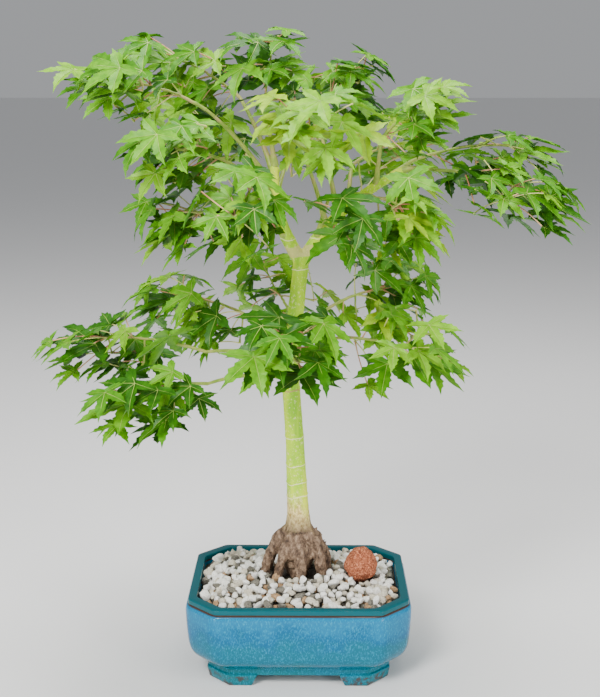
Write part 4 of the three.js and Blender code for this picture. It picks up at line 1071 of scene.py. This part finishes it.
def leaf_mesh(leaf, taste):
    """Blade and rib points and faces of one leaf: each lobe is two toothed strips that meet at its rib."""
    length = leaf["length"]
    cup = taste.uniform(-0.04, 0.12)
    sag = LEAF_SAG * taste.uniform(0.45, 1.0)
    curl = {lobe[0]: (taste.uniform(-0.22, 0.12), taste.uniform(-0.10, 0.10)) for lobe in LOBES}
    stretch = {lobe[0]: taste.uniform(0.88, 1.04) for lobe in LOBES}

    def point(angle, lobe_share, along_share, wide):
        """A point of a lobe, from how far along its rib it lies and how far to the side."""
        r = along_share * lobe_share * (stretch[angle] if along_share > 0.5 else 1.0)
        dip, sweep = curl[angle]
        bent = max(0.0, along_share - 0.6) ** 2 * 4
        a = math.radians(angle)
        side_shift = wide + sweep * bent * lobe_share
        u = r * math.cos(a) - side_shift * math.sin(a)
        v = r * math.sin(a) + side_shift * math.cos(a)
        w = -sag * (u * u + v * v) + CREASE * abs(wide) + cup * abs(v) + dip * bent * lobe_share
        return (u, v, w)

    own = [(0.0, 0.0, -0.012)]
    blade, ribs, rib_faces = [], [], []
    notch_ids = {}
    for a, r in NOTCHES.items():
        for sign in ((1, -1) if a != 180 else (1,)):
            c, s = math.cos(math.radians(a)) * r, sign * math.sin(math.radians(a)) * r
            notch_ids[sign * a] = len(own)
            own.append((c, s, -sag * r * r + 0.05))
    beside = {0: (25, -25), 50: (78, 25), -50: (-25, -78), 106: (180, 78), -106: (-78, 180)}
    for angle, share, edge, rib in LOBES:
        rib_ids = [0]
        for t in rib:
            rib_ids.append(len(own))
            own.append(point(angle, share, t, 0.0))
        tip = len(own)
        own.append(point(angle, share, 1.0, 0.0))
        for sign, notch in zip((1, -1), beside[angle]):
            edge_ids = [notch_ids[notch]]
            for t, wide in edge:
                edge_ids.append(len(own))
                own.append(point(angle, share, t, sign * wide))
            i, j = 0, 0
            inner, outer = rib_ids + [tip], edge_ids + [tip]
            inner_at, outer_at = (0.0, *rib, 1.0), (0.2, *[t for t, _ in edge], 1.0)
            while i < len(inner) - 2 or j < len(outer) - 2:
                if j >= len(outer) - 2 or (i < len(inner) - 2 and inner_at[i + 1] < outer_at[j + 1]):
                    face, i = (inner[i], inner[i + 1], outer[j]), i + 1
                else:
                    face, j = (inner[i], outer[j + 1], outer[j]), j + 1
                blade.append(face if sign > 0 else face[::-1])
            face = (inner[i], tip, outer[j])
            blade.append(face if sign > 0 else face[::-1])
        line = [own[k] for k in rib_ids] + [own[tip]]
        flat = (-math.sin(math.radians(angle)), math.cos(math.radians(angle)), 0.0)
        first = len(ribs)
        for k, p in enumerate(line):
            wide = RIB_HALF / length * (1 - 0.8 * k / (len(line) - 1)) * share
            for out in (wide, -wide):
                ribs.append((p[0] + out * flat[0], p[1] + out * flat[1], p[2] + RIB_PROUD + CREASE * wide))
        for k in range(len(line) - 1):
            a = first + 2 * k
            rib_faces.append((a, a + 1, a + 3, a + 2))
    ripple = taste.uniform(-0.012, 0.012, len(own))
    ripple[0] = 0
    place = np.array(own)
    place[:, 2] += ripple
    on_plant = leaf["at"] + place @ leaf["axes"] * length
    ribs_on_plant = leaf["at"] + np.array(ribs) @ leaf["axes"] * length
    return on_plant, blade, ribs_on_plant, rib_faces


LEAF_GREENS = {
    # share of leaves up to this tint, shade and light of the blade
    "leaves_deep": (0.20, (0.014, 0.090, 0.000), (0.036, 0.175, 0.001)),
    "leaves_green": (0.46, (0.036, 0.175, 0.000), (0.085, 0.300, 0.003)),
    "leaves_fresh": (0.76, (0.070, 0.260, 0.000), (0.150, 0.410, 0.006)),
    "leaves_bright": (0.96, (0.140, 0.370, 0.001), (0.250, 0.540, 0.014)),
    "leaves_lime": (1.01, (0.230, 0.420, 0.001), (0.380, 0.600, 0.014)),
}
blades = {name: ([], []) for name in LEAF_GREENS}
ribs_all = ([], [])
tints = np.array([leaf["tint"] for leaf in every_leaf])
ranks = tints.argsort().argsort() / max(1, len(tints) - 1)
for number, (leaf, rank) in enumerate(zip(every_leaf, ranks)):
    taste = np.random.default_rng(9000 + number)
    blade_points, blade_faces, rib_points, rib_faces = leaf_mesh(leaf, taste)
    name = next(key for key, row in LEAF_GREENS.items() if rank <= row[0])
    add_to(blades[name], blade_points, blade_faces)
    add_to(ribs_all, rib_points, rib_faces)
mass_nodes = ["leaves_" + spray["name"] for spray in sprays]
for name, (_, shade, light) in LEAF_GREENS.items():
    green, tree, shader = finish(name.replace("_", " "), 0.42, Specular_IOR_Level=0.22)
    cells = grain(tree, 130, 4.0, 0.6)
    coloured(tree, shader, cells, [(0.36, shade), (0.66, light)])
    relief(tree, shader, cells, 0.0008, 0.5)
    leaves_piece = object_from(name, *blades[name], green, 24)
    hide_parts(*mass_nodes)
    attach(leaves_piece, "root")
rib_green, tree, shader = finish("pale leaf rib", 0.5)
tone = grain(tree, 60, 2.0, 0.5)
coloured(tree, shader, tone, [(0.4, (0.22, 0.38, 0.04)), (0.6, (0.38, 0.52, 0.10))])
ribs_piece = object_from("leaf_ribs", *ribs_all, rib_green)
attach(ribs_piece, "root")
